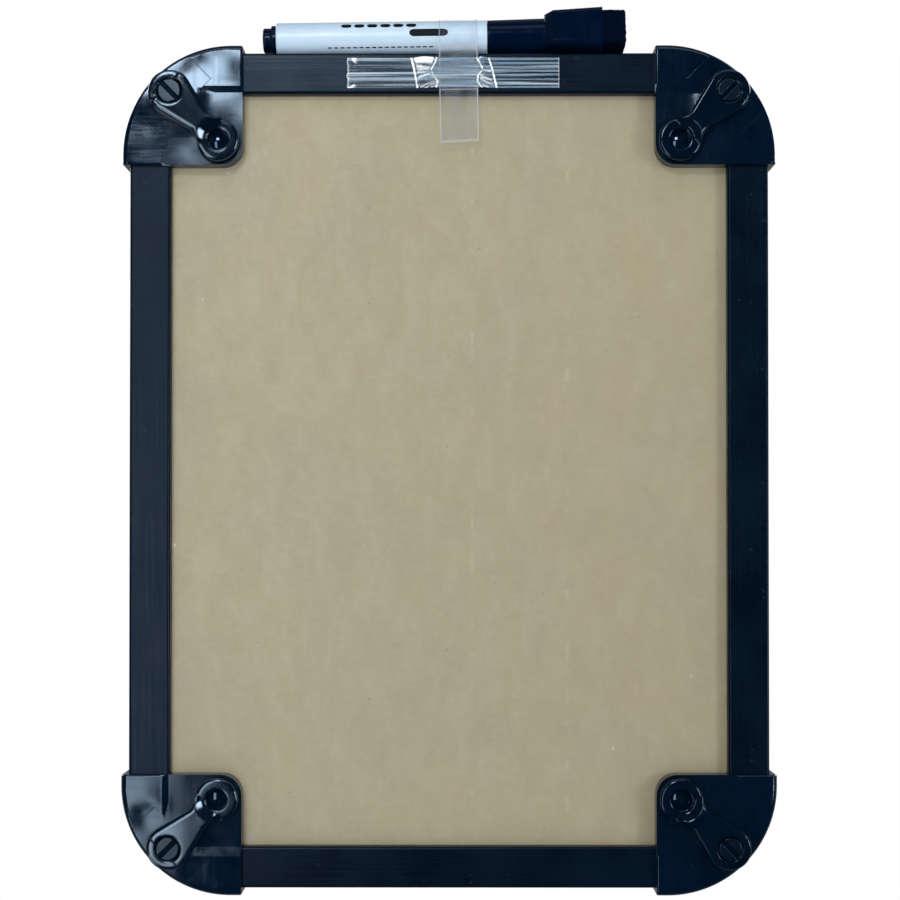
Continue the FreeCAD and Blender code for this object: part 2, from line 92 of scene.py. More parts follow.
MM = 0.001
CORNERS = ("top_left", "top_right", "bottom_left", "bottom_right")
LEVEL_RAILS = ("rail_top", "rail_bottom")
UPRIGHT_RAILS = ("rail_left", "rail_right")
WHITE = (1.0, 1.0, 1.0)
PLAIN = (1.0, 1.0, 1.0)
UNTURNED = (0.0, 0.0, 0.0)
BACKWARD = (0.0, -1.0, 0.0)
BEVEL_SAMPLES = 8
SPECK_CHANCE = (0.8, 0.86, 0.0, 1.0)
SPECK_CORE = 0.4


class Run(Enum):
    """Direction of a surface's fine lines, as the stretch of a pattern in x, y and z."""

    ALONG_X = (0.012, 1.0, 1.0)
    ALONG_Z = (1.0, 1.0, 0.012)


class Mixing(Enum):
    """What a mix node blends: its data type, its two inputs and its output."""

    COLOUR = ("RGBA", 6, 7, 2)
    WAY = ("VECTOR", 4, 5, 1)


class Layer(Enum):
    """Layer of smooth noise that one unevenness of the strap or the tape is read from."""

    PLEAT = 1.0
    TORN = 2.0
    SWAY = 3.0
    SMUDGE = 4.0
    FOLD = 5.0
    RIPPLE = 7.0
    GLINT = 9.0


@dataclass(frozen=True)
class Pattern:
    """Soft noise: blotches in each metre, finer layers and their strength, twist, stretch and turn."""

    scale: float
    detail: float = 4.0
    rough: float = 0.5
    warp: float = 0.0
    stretch: Triple = PLAIN
    turn: Triple = UNTURNED


@dataclass(frozen=True)
class Dots:
    """Sparse dots: cells in each metre, a dot's radius as a share of its cell, and the cells' stretch."""

    scale: float
    share: float
    stretch: Triple = PLAIN


def smooth_step(value: float, low: float, high: float) -> float:
    """Share of the way from low to high, eased at both ends."""
    share = min(1.0, max(0.0, (value - low) / (high - low)))
    return share * share * (3.0 - 2.0 * share)


def ruffle(layer: Layer, x: float, z: float) -> float:
    """Smooth noise at a place of one layer, from about -1 to 1."""
    return noise.noise(Vector((x, layer.value, z)))


class NodeGraph:
    """Nodes of one shader tree, with short calls that add a node and join it."""

    def __init__(self, tree: bpy.types.NodeTree) -> None:
        """Takes the tree that the nodes go in."""
        self.nodes = tree.nodes
        self.links = tree.links

    def feed(self, node: bpy.types.Node, key: str | int, value: object) -> None:
        """Joins a source to a node's socket, or sets the socket's own value.

        Args:
            node: The node.
            key: Name or number of its socket.
            value: A source, or a plain value.
        """
        socket = node.inputs[key]
        if isinstance(value, Socket):
            self.links.new(value, socket)
        elif isinstance(value, tuple) and len(value) == 3 and socket.type == "RGBA":
            socket.default_value = (*value, 1.0)
        else:
            socket.default_value = value

    def add(self, kind: str, **inputs: object) -> bpy.types.Node:
        """Adds a node.

        Args:
            kind: Node type without its usual prefix.
            inputs: Socket names, with underscores for spaces, and their values or sources.

        Returns:
            The new node.
        """
        node = self.nodes.new("ShaderNode" + kind)
        for name, value in inputs.items():
            self.feed(node, name.replace("_", " "), value)
        return node

    def calc(self, operation: str, *values: object) -> Socket:
        """Adds one arithmetic step.

        Args:
            operation: Name of the step.
            values: Sources or plain numbers, in order.

        Returns:
            The result.
        """
        node = self.nodes.new("ShaderNodeMath")
        node.operation = operation
        for index, value in enumerate(values):
            self.feed(node, index, value)
        return node.outputs[0]

    def times(self, first: object, second: object) -> Socket:
        """Product of two values."""
        return self.calc("MULTIPLY", first, second)

    def remap(self, value: Socket, ramp: Ramp) -> Socket:
        """Maps a range of values to another, held at its ends.

        Args:
            value: Source of the values.
            ramp: Start and end of the range, and what they turn into.

        Returns:
            The mapped value.
        """
        low, high, to_low, to_high = ramp
        keys = {"From_Min": low, "From_Max": high, "To_Min": to_low, "To_Max": to_high}
        return self.add("MapRange", Value=value, **keys).outputs["Result"]

    def mix_shaders(self, share: Socket, first: Socket, second: Socket) -> Socket:
        """Shader between two shaders.

        Args:
            share: Share of the second one.
            first: Shader at a share of 0.
            second: Shader at a share of 1.

        Returns:
            The mixed shader.
        """
        node = self.nodes.new("ShaderNodeMixShader")
        for index, value in enumerate((share, first, second)):
            self.feed(node, index, value)
        return node.outputs[0]


class ShaderGraph(NodeGraph):
    """Nodes of one material."""

    def __init__(self, name: str) -> None:
        """Starts a material with its shader.

        Args:
            name: Name of the material.
        """
        self.material = bpy.data.materials.new(name)
        self.material.use_nodes = True
        super().__init__(self.material.node_tree)
        self.shader = self.nodes["Principled BSDF"]

    def finish(self, **inputs: object) -> bpy.types.Material:
        """Sets the shader's sockets.

        Args:
            inputs: Socket names, with underscores for spaces, and their values or sources.

        Returns:
            The finished material.
        """
        for name, value in inputs.items():
            self.feed(self.shader, name.replace("_", " "), value)
        return self.material

    def place(self, stretch: Triple = PLAIN, turn: Triple = UNTURNED) -> Socket:
        """Object coordinates.

        Args:
            stretch: Their stretch in x, y and z.
            turn: Their turn about x, y and z.

        Returns:
            The coordinates.
        """
        where = self.add("TexCoord").outputs["Object"]
        if stretch == PLAIN and turn == UNTURNED:
            return where
        return self.add("Mapping", Vector=where, Scale=stretch, Rotation=turn).outputs["Vector"]

    def axis(self, letter: str) -> Socket:
        """One of the object coordinates."""
        return self.add("SeparateXYZ", Vector=self.place()).outputs[letter]

    def off(self, value: Socket, centre: float) -> Socket:
        """How far a value is from a centre, either way."""
        return self.calc("ABSOLUTE", self.calc("SUBTRACT", value, centre))

    def span(self, letter: str) -> Socket:
        """Distance from the board's middle along one axis, which all four corners share."""
        return self.calc("ABSOLUTE", self.axis(letter))

    def attribute(self, name: str) -> Socket:
        """Adds a value that a piece's points carry.

        Args:
            name: Name of the value.

        Returns:
            The value.
        """
        node = self.add("Attribute")
        node.attribute_name = name
        return node.outputs["Fac"]

    def cloud(self, pattern: Pattern) -> Socket:
        """Adds soft noise.

        Args:
            pattern: Scale, layers, twist and stretch of the noise.

        Returns:
            Its value, from 0 to 1.
        """
        node = self.add(
            "TexNoise",
            Vector=self.place(pattern.stretch, pattern.turn),
            Scale=pattern.scale,
            Detail=pattern.detail,
            Roughness=pattern.rough,
            Distortion=pattern.warp,
        )
        return node.outputs[0]

    def specks(self, dots: Dots) -> Socket:
        """Adds sparse dots.

        Args:
            dots: Scale, size and stretch of the dots.

        Returns:
            A value that is 1 in a dot and 0 outside it.
        """
        cells = self.add("TexVoronoi", Vector=self.place(dots.stretch), Scale=dots.scale)
        chance = self.add("SeparateXYZ", Vector=cells.outputs["Color"]).outputs["X"]
        near = self.remap(cells.outputs["Distance"], (dots.share, dots.share * SPECK_CORE, 0.0, 1.0))
        return self.times(near, self.remap(chance, SPECK_CHANCE))

    def mix(self, mixing: Mixing, share: Socket, first: object, second: object) -> Socket:
        """Blends two colours or two ways.

        Args:
            mixing: What is blended.
            share: Share of the second value.
            first: Value at a share of 0.
            second: Value at a share of 1.

        Returns:
            The blended value.
        """
        data_type, first_input, second_input, output = mixing.value
        node = self.nodes.new("ShaderNodeMix")
        node.data_type = data_type
        for index, value in ((0, share), (first_input, first), (second_input, second)):
            self.feed(node, index, value)
        return node.outputs[output]

    def blend(self, share: Socket, first: object, second: object) -> Socket:
        """Colour between two colours."""
        return self.mix(Mixing.COLOUR, share, first, second)

    def layer(self, under: object, value: Socket, ramp: Ramp, over: Colour) -> Socket:
        """Colour with another laid over it where a mapped value says so."""
        return self.blend(self.remap(value, ramp), under, over)

    def aim(self, share: Socket, normal: Socket, way: Triple) -> Socket:
        """Turns a normal toward one way.

        Args:
            share: How far it turns, from 0 to 1.
            normal: The normal.
            way: The way.

        Returns:
            The turned normal.
        """
        unit = self.nodes.new("ShaderNodeVectorMath")
        unit.operation = "NORMALIZE"
        self.feed(unit, 0, self.mix(Mixing.WAY, share, normal, way))
        return unit.outputs[0]

    def rounded(self, radius: float, under: Socket | None = None) -> Socket:
        """Adds a normal that looks rounded over at the edges.

        Args:
            radius: How far from an edge the rounding starts.
            under: Normal that the rounding goes on.

        Returns:
            The rounded normal.
        """
        node = self.add("Bevel", Radius=radius)
        node.samples = BEVEL_SAMPLES
        if under is not None:
            self.feed(node, "Normal", under)
        return node.outputs["Normal"]

    def bumps(
        self, height: Socket, depth: float, under: Socket | None = None, strength: float = 1.0
    ) -> Socket:
        """Adds a normal that a height in metres gives.

        Args:
            height: Height, from 0 to 1.
            depth: Depth that a height of 1 stands for.
            under: Normal that the bump goes on.
            strength: Share of the bump that is kept.

        Returns:
            The bumped normal.
        """
        keys = {"Height": height, "Distance": depth, "Strength": strength}
        if under is not None:
            keys["Normal"] = under
        return self.add("Bump", **keys).outputs["Normal"]


@dataclass(frozen=True)
class ExtrudedPlastic:
    """Satin plastic with faint die lines along its length."""

    dark: Colour = (0.0003, 0.0038, 0.0105)
    light: Colour = (0.0008, 0.0058, 0.0150)
    worn: Colour = (0.3, 0.32, 0.34)
    gleam: Colour = (0.55, 0.73, 1.0)
    shine: float = 0.16
    ior: float = 1.49
    lines: Pattern = Pattern(1500.0, 3.0, 0.6)
    line_depth: float = 0.006 * MM
    line_roughness: Ramp = (0.3, 0.7, 0.23, 0.34)
    patches: Pattern = Pattern(55.0, 4.0, 0.55)
    patch_tint: Ramp = (0.35, 0.65, 0.0, 1.0)
    patch_depth: float = 0.03 * MM
    patch_strength: float = 0.5
    patch_roughness: Ramp = (0.3, 0.7, -0.04, 0.05)
    scuffs: Dots = Dots(260.0, 0.2, (1.0, 1.0, 2.2))
    scuff_share: float = 0.05

    def material(self, name: str, run: Run) -> bpy.types.Material:
        """Makes the finish of rails that run one way.

        Args:
            name: Name of the material.
            run: Direction of its lines.

        Returns:
            The material.
        """
        graph = ShaderGraph(name)
        lines = graph.cloud(replace(self.lines, stretch=run.value))
        patches = graph.cloud(self.patches)
        colour = graph.layer(self.dark, patches, self.patch_tint, self.light)
        scuffed = graph.times(graph.specks(self.scuffs), self.scuff_share)
        line_rough = graph.remap(lines, self.line_roughness)
        normal = graph.bumps(lines, self.line_depth)
        return graph.finish(
            Base_Color=graph.blend(scuffed, colour, self.worn),
            Roughness=graph.calc("ADD", line_rough, graph.remap(patches, self.patch_roughness)),
            Normal=graph.bumps(patches, self.patch_depth, normal, self.patch_strength),
            IOR=self.ior,
            Specular_Tint=self.gleam,
            Specular_IOR_Level=self.shine,
        )


@dataclass(frozen=True)
class MouldedPlastic:
    """Glossy moulded plastic with a swirled colour, slight sinks and a fine grain."""

    dark: Colour
    light: Colour
    roughness: float
    gleam: Colour = (0.58, 0.78, 1.0)
    shine: float = 0.5
    ior: float = 1.53
    lean: Pair = (0.0, 0.0)
    bow: float = 0.0
    soft: float = 0.0
    # Depths over which the specular level falls, to paint shade into a slot.
    slot_shade: Pair | None = None
    slot_shade_shine: float = 0.02
    swirl: Pattern = Pattern(90.0, 5.0, 0.6, 1.5)
    swirl_tint: Ramp = (0.35, 0.65, 0.0, 1.0)
    swirl_range: Pair = (0.3, 0.7)
    smoother: float = 0.03
    rougher: float = 0.04
    sinks: Pattern = Pattern(62.0, 1.0, 0.4)
    ripple: float = 0.05 * MM
    grain: Pattern = Pattern(4200.0, 2.0, 0.5)
    grain_depth: float = 0.003 * MM

    def leaning(self, graph: ShaderGraph) -> Socket:
        """Adds the normal of a piece that sits a little askew and is bowed along x.

        Args:
            graph: Nodes of the material.

        Returns:
            The normal.
        """
        across = graph.axis("X")
        slope = graph.calc("MULTIPLY_ADD", across, self.bow / 2.0, self.lean[0])
        level = graph.times(across, slope)
        return graph.bumps(graph.calc("MULTIPLY_ADD", graph.axis("Z"), self.lean[1], level), 1.0)

    def sunk(self, graph: ShaderGraph, normal: Socket) -> Socket:
        """Normal with the sinks of one kind of piece, of which a plain piece has none."""
        return normal

    def worked(self, graph: ShaderGraph, rough: Socket, normal: Socket) -> tuple[Socket, Socket]:
        """Roughness and normal with the marks of one kind of piece, of which a plain piece has none."""
        return rough, normal

    def material(self, name: str) -> bpy.types.Material:
        """Makes the finish of one moulded piece.

        Args:
            name: Name of the material.

        Returns:
            The material.
        """
        graph = ShaderGraph(name)
        swirl = graph.cloud(self.swirl)
        limits = (self.roughness - self.smoother, self.roughness + self.rougher)
        rough = graph.remap(swirl, (*self.swirl_range, *limits))
        normal = self.leaning(graph) if any(self.lean) else None
        if self.soft:
            normal = graph.rounded(self.soft, normal)
        normal = graph.bumps(graph.cloud(self.sinks), self.ripple, normal)
        normal = self.sunk(graph, normal)
        normal = graph.bumps(graph.cloud(self.grain), self.grain_depth, normal)
        rough, normal = self.worked(graph, rough, normal)
        shine = self.shine
        # Painted shade: the specular level falls between these depths, so the slot looks dark as if in
        # shadow.
        if self.slot_shade:
            shine = graph.remap(graph.axis("Y"), (*self.slot_shade, self.shine, self.slot_shade_shine))
        return graph.finish(
            Base_Color=graph.layer(self.dark, swirl, self.swirl_tint, self.light),
            Roughness=rough,
            Normal=normal,
            IOR=self.ior,
            Specular_Tint=self.gleam,
            Specular_IOR_Level=shine,
        )


@dataclass(frozen=True)
class CornerPlastic(MouldedPlastic):
    """Plastic of a corner: streaked arms, eased recess walls, sinks over its clips and a bright dome.

    Places are given for the right upper corner, and all four share them.
    """

    back: Ramp = (8.0 * MM, 9.0 * MM, 1.0, 0.0)
    dome: Pair = (0.0, 0.0)
    dome_reach: Pair = (2.9 * MM, 3.3 * MM)
    dome_polish: float = 0.65
    clips: tuple[Pair, ...] = ((99.8 * MM, 113.3 * MM), (82.7 * MM, 130.7 * MM))
    clip_reach: float = 7.0 * MM
    clip_sink: float = 0.13 * MM
    walls: Pair = (0.0, 0.0)
    wall_ends: Pair = (119.0 * MM, 87.0 * MM)
    wall_band: Pair = (1.3 * MM, 1.9 * MM)
    wall_fade: float = 4.0 * MM
    ease: Pair = (0.0, 0.0)
    upright: Pattern = Pattern(1300.0, 3.0, 0.6, stretch=(1.0, 1.0, 0.06))
    level: Pattern = Pattern(1300.0, 3.0, 0.6, stretch=(0.06, 1.0, 1.0))
    level_arm: Ramp = (94.0 * MM, 84.0 * MM, 0.0, 1.0)
    upright_arm: Ramp = (126.0 * MM, 116.0 * MM, 0.0, 1.0)
    streak_depth: float = 0.004 * MM
    streak_roughness: Ramp = (0.35, 0.65, -0.03, 0.03)

    def distance(self, graph: ShaderGraph, spot: Pair) -> Socket:
        """Adds the distance from a spot that all four corners have.

        Args:
            graph: Nodes of the material.
            spot: The spot's x and z.

        Returns:
            The distance.
        """
        squares = []
        for letter, centre in zip("XZ", spot):
            gap = graph.calc("SUBTRACT", graph.span(letter), centre)
            squares.append(graph.times(gap, gap))
        return graph.calc("SQRT", graph.calc("ADD", *squares))

    def on_back(self, graph: ShaderGraph, value: Socket) -> Socket:
        """Value kept on the back of a corner and lost on its front."""
        return graph.times(value, graph.remap(graph.axis("Y"), self.back))

    def polish(self, graph: ShaderGraph) -> Socket:
        """Share of the roughness that is kept: little on the small dome under each tab's ring."""
        lost = graph.remap(self.distance(graph, self.dome), (*self.dome_reach, self.dome_polish, 0.0))
        return graph.calc("SUBTRACT", 1.0, self.on_back(graph, lost))

    def sunk(self, graph: ShaderGraph, normal: Socket) -> Socket:
        """Adds a shallow sink over each hidden clip.

        Args:
            graph: Nodes of the material.
            normal: Normal that the sinks go on.

        Returns:
            The normal with the sinks.
        """
        for spot in self.clips:
            rise = graph.add("MapRange", Value=self.distance(graph, spot), From_Max=self.clip_reach)
            rise.interpolation_type = "SMOOTHSTEP"
            normal = graph.bumps(rise.outputs["Result"], self.clip_sink, normal)
        return normal

    def eased_walls(self, graph: ShaderGraph, normal: Socket) -> Socket:
        """Makes less of the soft walls round the recesses along a corner's inner edges.

        Args:
            graph: Nodes of the material.
            normal: Normal of the walls.

        Returns:
            The eased normal.
        """
        shares = []
        for across, along, foot, end, ease in zip("XZ", "ZX", self.walls, self.wall_ends, self.ease):
            gap = graph.off(graph.span(across), foot)
            band = graph.remap(gap, (*self.wall_band, ease, 0.0))
            within = graph.remap(graph.span(along), (end, end - self.wall_fade, 0.0, 1.0))
            shares.append(graph.times(band, within))
        share = self.on_back(graph, graph.calc("MAXIMUM", *shares))
        return graph.aim(share, normal, BACKWARD)

    def arm_streaks(self, graph: ShaderGraph) -> Socket:
        """Adds streaks across each arm: upright on the level arms and level on the upright ones.

        Args:
            graph: Nodes of the material.

        Returns:
            Height of the streaks.
        """
        on_level_arm = graph.remap(graph.span("X"), self.level_arm)
        on_upright_arm = graph.remap(graph.span("Z"), self.upright_arm)
        first = graph.times(graph.cloud(self.upright), on_level_arm)
        second = graph.times(graph.cloud(self.level), on_upright_arm)
        return graph.calc("ADD", first, second)

    def worked(self, graph: ShaderGraph, rough: Socket, normal: Socket) -> tuple[Socket, Socket]:
        """Adds the streaks, the eased walls and the bright dome.

        Args:
            graph: Nodes of the material.
            rough: Roughness without them.
            normal: Normal without them.

        Returns:
            The roughness and the normal with them.
        """
        streaks = self.arm_streaks(graph)
        rough = graph.calc("ADD", rough, graph.remap(streaks, self.streak_roughness))
        normal = self.eased_walls(graph, graph.bumps(streaks, self.streak_depth, normal))
        return graph.times(rough, self.polish(graph)), normal


@dataclass(frozen=True)
class Chipboard:
    """Mottled tan board of pressed waste paper, with fibres, specks, two faint roller marks and painted
    shade that darkens it to the right and lower down.
    """

    tan: Colour = (0.402, 0.366, 0.253)
    grey: Colour = (0.384, 0.356, 0.260)
    pink: Colour = (0.418, 0.359, 0.248)
    pale: Colour = (0.55, 0.525, 0.425)
    dark: Colour = (0.16, 0.13, 0.085)
    shade: Colour = (0.14, 0.11, 0.04)
    fleck: Colour = (0.75, 0.72, 0.62)
    roughness: float = 0.92
    shine: float = 0.2
    broad: Pattern = Pattern(22.0, 3.0, 0.5)
    broad_grey: Ramp = (0.35, 0.65, 0.0, 1.0)
    tint: Pattern = Pattern(60.0, 4.0, 0.6, stretch=(1.0, 1.0, 0.7))
    tint_pink: Ramp = (0.45, 0.7, 0.0, 0.6)
    blotch: Pattern = Pattern(170.0, 3.0, 0.5, 0.5, (1.0, 1.0, 0.5))
    blotch_pale: Ramp = (0.48, 0.72, 0.0, 0.12)
    blotch_dark: Ramp = (0.48, 0.28, 0.0, 0.055)
    mottle: Pattern = Pattern(480.0, 5.0, 0.7, 0.4, (0.75, 1.0, 1.0))
    mottle_pale: Ramp = (0.45, 0.75, 0.0, 0.12)
    mottle_dark: Ramp = (0.45, 0.25, 0.0, 0.075)
    mottle_depth: float = 0.04 * MM
    fibres: Pattern = Pattern(1700.0, 2.0, 0.5, 1.2, (0.16, 1.0, 1.0), (0.0, 0.25, 0.0))
    fibre_pale: Ramp = (0.62, 0.75, 0.0, 0.16)
    fibre_depth: float = 0.015 * MM
    strands: Pattern = Pattern(1500.0, 2.0, 0.5, 1.2, (0.16, 1.0, 1.0), (0.0, -0.9, 0.0))
    strand_dark: Ramp = (0.64, 0.76, 0.0, 0.09)
    specks: Dots = Dots(190.0, 0.07)
    speck_share: float = 0.7
    flecks: Dots = Dots(110.0, 0.075, (1.0, 1.0, 0.8))
    fleck_share: float = 0.6
    roller: Pattern = Pattern(210.0, 1.0, 0.4, stretch=(0.2, 1.0, 1.0))
    roller_dots: Ramp = (0.55, 0.68, 0.0, 1.0)
    roller_marks: Pair = (7.7 * MM, 39.2 * MM)
    roller_width: float = 0.9 * MM
    roller_core: float = 0.2
    roller_share: float = 0.28
    # Painted shade: the board darkens along this slope, mostly to the right and a little lower down.
    shade_slope: Pair = (2.0, -0.5)
    shade_ramp: Ramp = (-0.26, 0.26, 0.0, 0.3)

    def roller_rows(self, graph: ShaderGraph) -> Socket:
        """Adds two upright rows of faint pale dots.

        Args:
            graph: Nodes of the material.

        Returns:
            Share of the pale colour.
        """
        dots = graph.remap(graph.cloud(self.roller), self.roller_dots)
        across = graph.axis("X")
        edges = (self.roller_width, self.roller_width * self.roller_core, 0.0, 1.0)
        rows = [graph.remap(graph.off(across, centre), edges) for centre in self.roller_marks]
        return graph.times(graph.times(dots, graph.calc("MAXIMUM", *rows)), self.roller_share)

    def material(self, name: str) -> bpy.types.Material:
        """Makes the finish of the backing board.

        Args:
            name: Name of the material.

        Returns:
            The material.
        """
        graph = ShaderGraph(name)
        mottle = graph.cloud(self.mottle)
        fibres = graph.cloud(self.fibres)
        blotch = graph.cloud(self.blotch)
        colour = self.tan
        for value, ramp, over in (
            (graph.cloud(self.broad), self.broad_grey, self.grey),
            (graph.cloud(self.tint), self.tint_pink, self.pink),
            (blotch, self.blotch_pale, self.pale),
            (blotch, self.blotch_dark, self.dark),
            (mottle, self.mottle_pale, self.pale),
            (mottle, self.mottle_dark, self.dark),
            (fibres, self.fibre_pale, self.pale),
            (graph.cloud(self.strands), self.strand_dark, self.dark),
        ):
            colour = graph.layer(colour, value, ramp, over)
        colour = graph.blend(self.roller_rows(graph), colour, self.pale)
        colour = graph.blend(graph.times(graph.specks(self.specks), self.speck_share), colour, self.dark)
        colour = graph.blend(graph.times(graph.specks(self.flecks), self.fleck_share), colour, self.fleck)
        # Painted shade, darker to the right and lower down.
        across = graph.times(graph.axis("X"), self.shade_slope[0])
        painted_shade = graph.calc("MULTIPLY_ADD", graph.axis("Z"), self.shade_slope[1], across)
        normal = graph.bumps(mottle, self.mottle_depth)
        return graph.finish(
            Base_Color=graph.layer(colour, painted_shade, self.shade_ramp, self.shade),
            Roughness=self.roughness,
            Normal=graph.bumps(fibres, self.fibre_depth, normal),
            Specular_IOR_Level=self.shine,
        )


@dataclass(frozen=True)
class WhiteLacquer:
    """White gloss lacquer with faint wiped smears of ink."""

    white: Colour = (0.84, 0.855, 0.87)
    smear: Colour = (0.66, 0.69, 0.72)
    wipes: Pattern = Pattern(45.0, 5.0, 0.6, 1.0, (0.25, 1.0, 1.0), (0.0, 0.5, 0.0))
    wipe_smear: Ramp = (0.58, 0.8, 0.0, 0.35)
    wipe_roughness: Ramp = (0.4, 0.75, 0.12, 0.3)
    peel: Pattern = Pattern(700.0, 2.0, 0.5)
    peel_depth: float = 0.006 * MM
    coat: float = 0.3
    coat_roughness: float = 0.08

    def material(self, name: str) -> bpy.types.Material:
        """Makes the finish of the writing sheet.

        Args:
            name: Name of the material.

        Returns:
            The material.
        """
        graph = ShaderGraph(name)
        wipes = graph.cloud(self.wipes)
        return graph.finish(
            Base_Color=graph.layer(self.white, wipes, self.wipe_smear, self.smear),
            Roughness=graph.remap(wipes, self.wipe_roughness),
            Normal=graph.bumps(graph.cloud(self.peel), self.peel_depth),
            Coat_Weight=self.coat,
            Coat_Roughness=self.coat_roughness,
        )


@dataclass(frozen=True)
class BarrelPlastic:
    """White moulded plastic of a pen barrel, a little blue, with drawn lines along it."""

    white: Colour = (0.53, 0.69, 0.845)
    shade: Colour = (0.485, 0.635, 0.78)
    ior: float = 1.49
    lines: Pattern = Pattern(900.0, 3.0, 0.5, stretch=Run.ALONG_X.value)
    line_depth: float = 0.004 * MM
    shading: Pattern = Pattern(160.0, 3.0, 0.5)
    shading_tint: Ramp = (0.4, 0.7, 0.0, 0.5)
    shading_roughness: Ramp = (0.3, 0.7, 0.26, 0.38)

    def material(self, name: str) -> bpy.types.Material:
        """Makes the finish of the barrel.

        Args:
            name: Name of the material.

        Returns:
            The material.
        """
        graph = ShaderGraph(name)
        shading = graph.cloud(self.shading)
        return graph.finish(
            Base_Color=graph.layer(self.white, shading, self.shading_tint, self.shade),
            Roughness=graph.remap(shading, self.shading_roughness),
            Normal=graph.bumps(graph.cloud(self.lines), self.line_depth),
            IOR=self.ior,
        )


@dataclass(frozen=True)
class PressedFibre:
    """Felt or fibre: matt, with matted clumps and hairs."""

    deep: Colour
    lint: Colour
    clumps: Pattern = Pattern(900.0, 5.0, 0.7, 1.0)
    clump_lint: Ramp = (0.4, 0.7, 0.0, 0.7)
    clump_depth: float = 0.2 * MM
    hairs: Pattern = Pattern(2700.0, 2.0, 0.5, 1.5, (0.3, 1.0, 1.0), (0.4, 0.5, 0.3))
    hair_lint: Ramp = (0.6, 0.75, 0.0, 0.4)
    roughness: float = 0.95
    shine: float = 0.03

    def finer(self, share: float) -> "PressedFibre":
        """The same fibre with its clumps and hairs closer by a share."""
        clumps, hairs = (replace(item, scale=item.scale * share) for item in (self.clumps, self.hairs))
        return replace(self, clumps=clumps, hairs=hairs)

    def material(self, name: str) -> bpy.types.Material:
        """Makes the finish of a felt or fibre piece.

        Args:
            name: Name of the material.

        Returns:
            The material.
        """
        graph = ShaderGraph(name)
        clumps = graph.cloud(self.clumps)
        colour = graph.layer(self.deep, clumps, self.clump_lint, self.lint)
        return graph.finish(
            Base_Color=graph.layer(colour, graph.cloud(self.hairs), self.hair_lint, self.lint),
            Roughness=self.roughness,
            Normal=graph.bumps(clumps, self.clump_depth),
            Specular_IOR_Level=self.shine,
        )


@dataclass(frozen=True)
class PrintInk:
    """Dark ink, a little uneven."""

    ink: Colour = (0.004, 0.007, 0.012)
    thin: Colour = (0.02, 0.028, 0.036)
    shine: float = 0.06
    wear: Pattern = Pattern(1300.0, 3.0, 0.6)
    wear_thin: Ramp = (0.5, 0.75, 0.0, 0.8)
    wear_roughness: Ramp = (0.3, 0.7, 0.35, 0.5)

    def material(self, name: str) -> bpy.types.Material:
        """Makes the finish of the printed marks.

        Args:
            name: Name of the material.

        Returns:
            The material.
        """
        graph = ShaderGraph(name)
        wear = graph.cloud(self.wear)
        return graph.finish(
            Base_Color=graph.layer(self.ink, wear, self.wear_thin, self.thin),
            Roughness=graph.remap(wear, self.wear_roughness),
            Specular_IOR_Level=self.shine,
        )


@dataclass(frozen=True)
class ClearFilm:
    """Clear plastic strip, whiter along its cut edges and folds, where the whiteness is a painted highlight,
    and over its weld.
    """

    haze: Colour = (0.37, 0.43, 0.53)
    # The edge colour is a painted highlight along the cut edges and the bend, and the real whiter weld.
    edge: Colour = (0.78, 0.80, 0.80)
    edge_cover: float = 0.4
    ripples: Pattern = Pattern(260.0, 3.0, 0.5, stretch=(1.0, 1.0, 0.4))
    ripple_cover: Ramp = (0.35, 0.7, 0.02, 0.07)
    ripple_depth: float = 0.05 * MM
    roughness: float = 0.16
    ior: float = 1.5

    def material(self, name: str) -> bpy.types.Material:
        """Makes the finish of the strap.

        Args:
            name: Name of the material.

        Returns:
            The material.
        """
        graph = ShaderGraph(name)
        ripples = graph.cloud(self.ripples)
        # The rim value is a painted highlight along the cut edges and the bend, and the real whiter weld.
        rim = graph.attribute("rim")
        cover = graph.remap(ripples, self.ripple_cover)
        return graph.finish(
            Base_Color=graph.blend(rim, self.haze, self.edge),
            Roughness=self.roughness,
            Normal=graph.bumps(ripples, self.ripple_depth),
            IOR=self.ior,
            Alpha=graph.calc("ADD", cover, graph.times(rim, self.edge_cover)),
        )


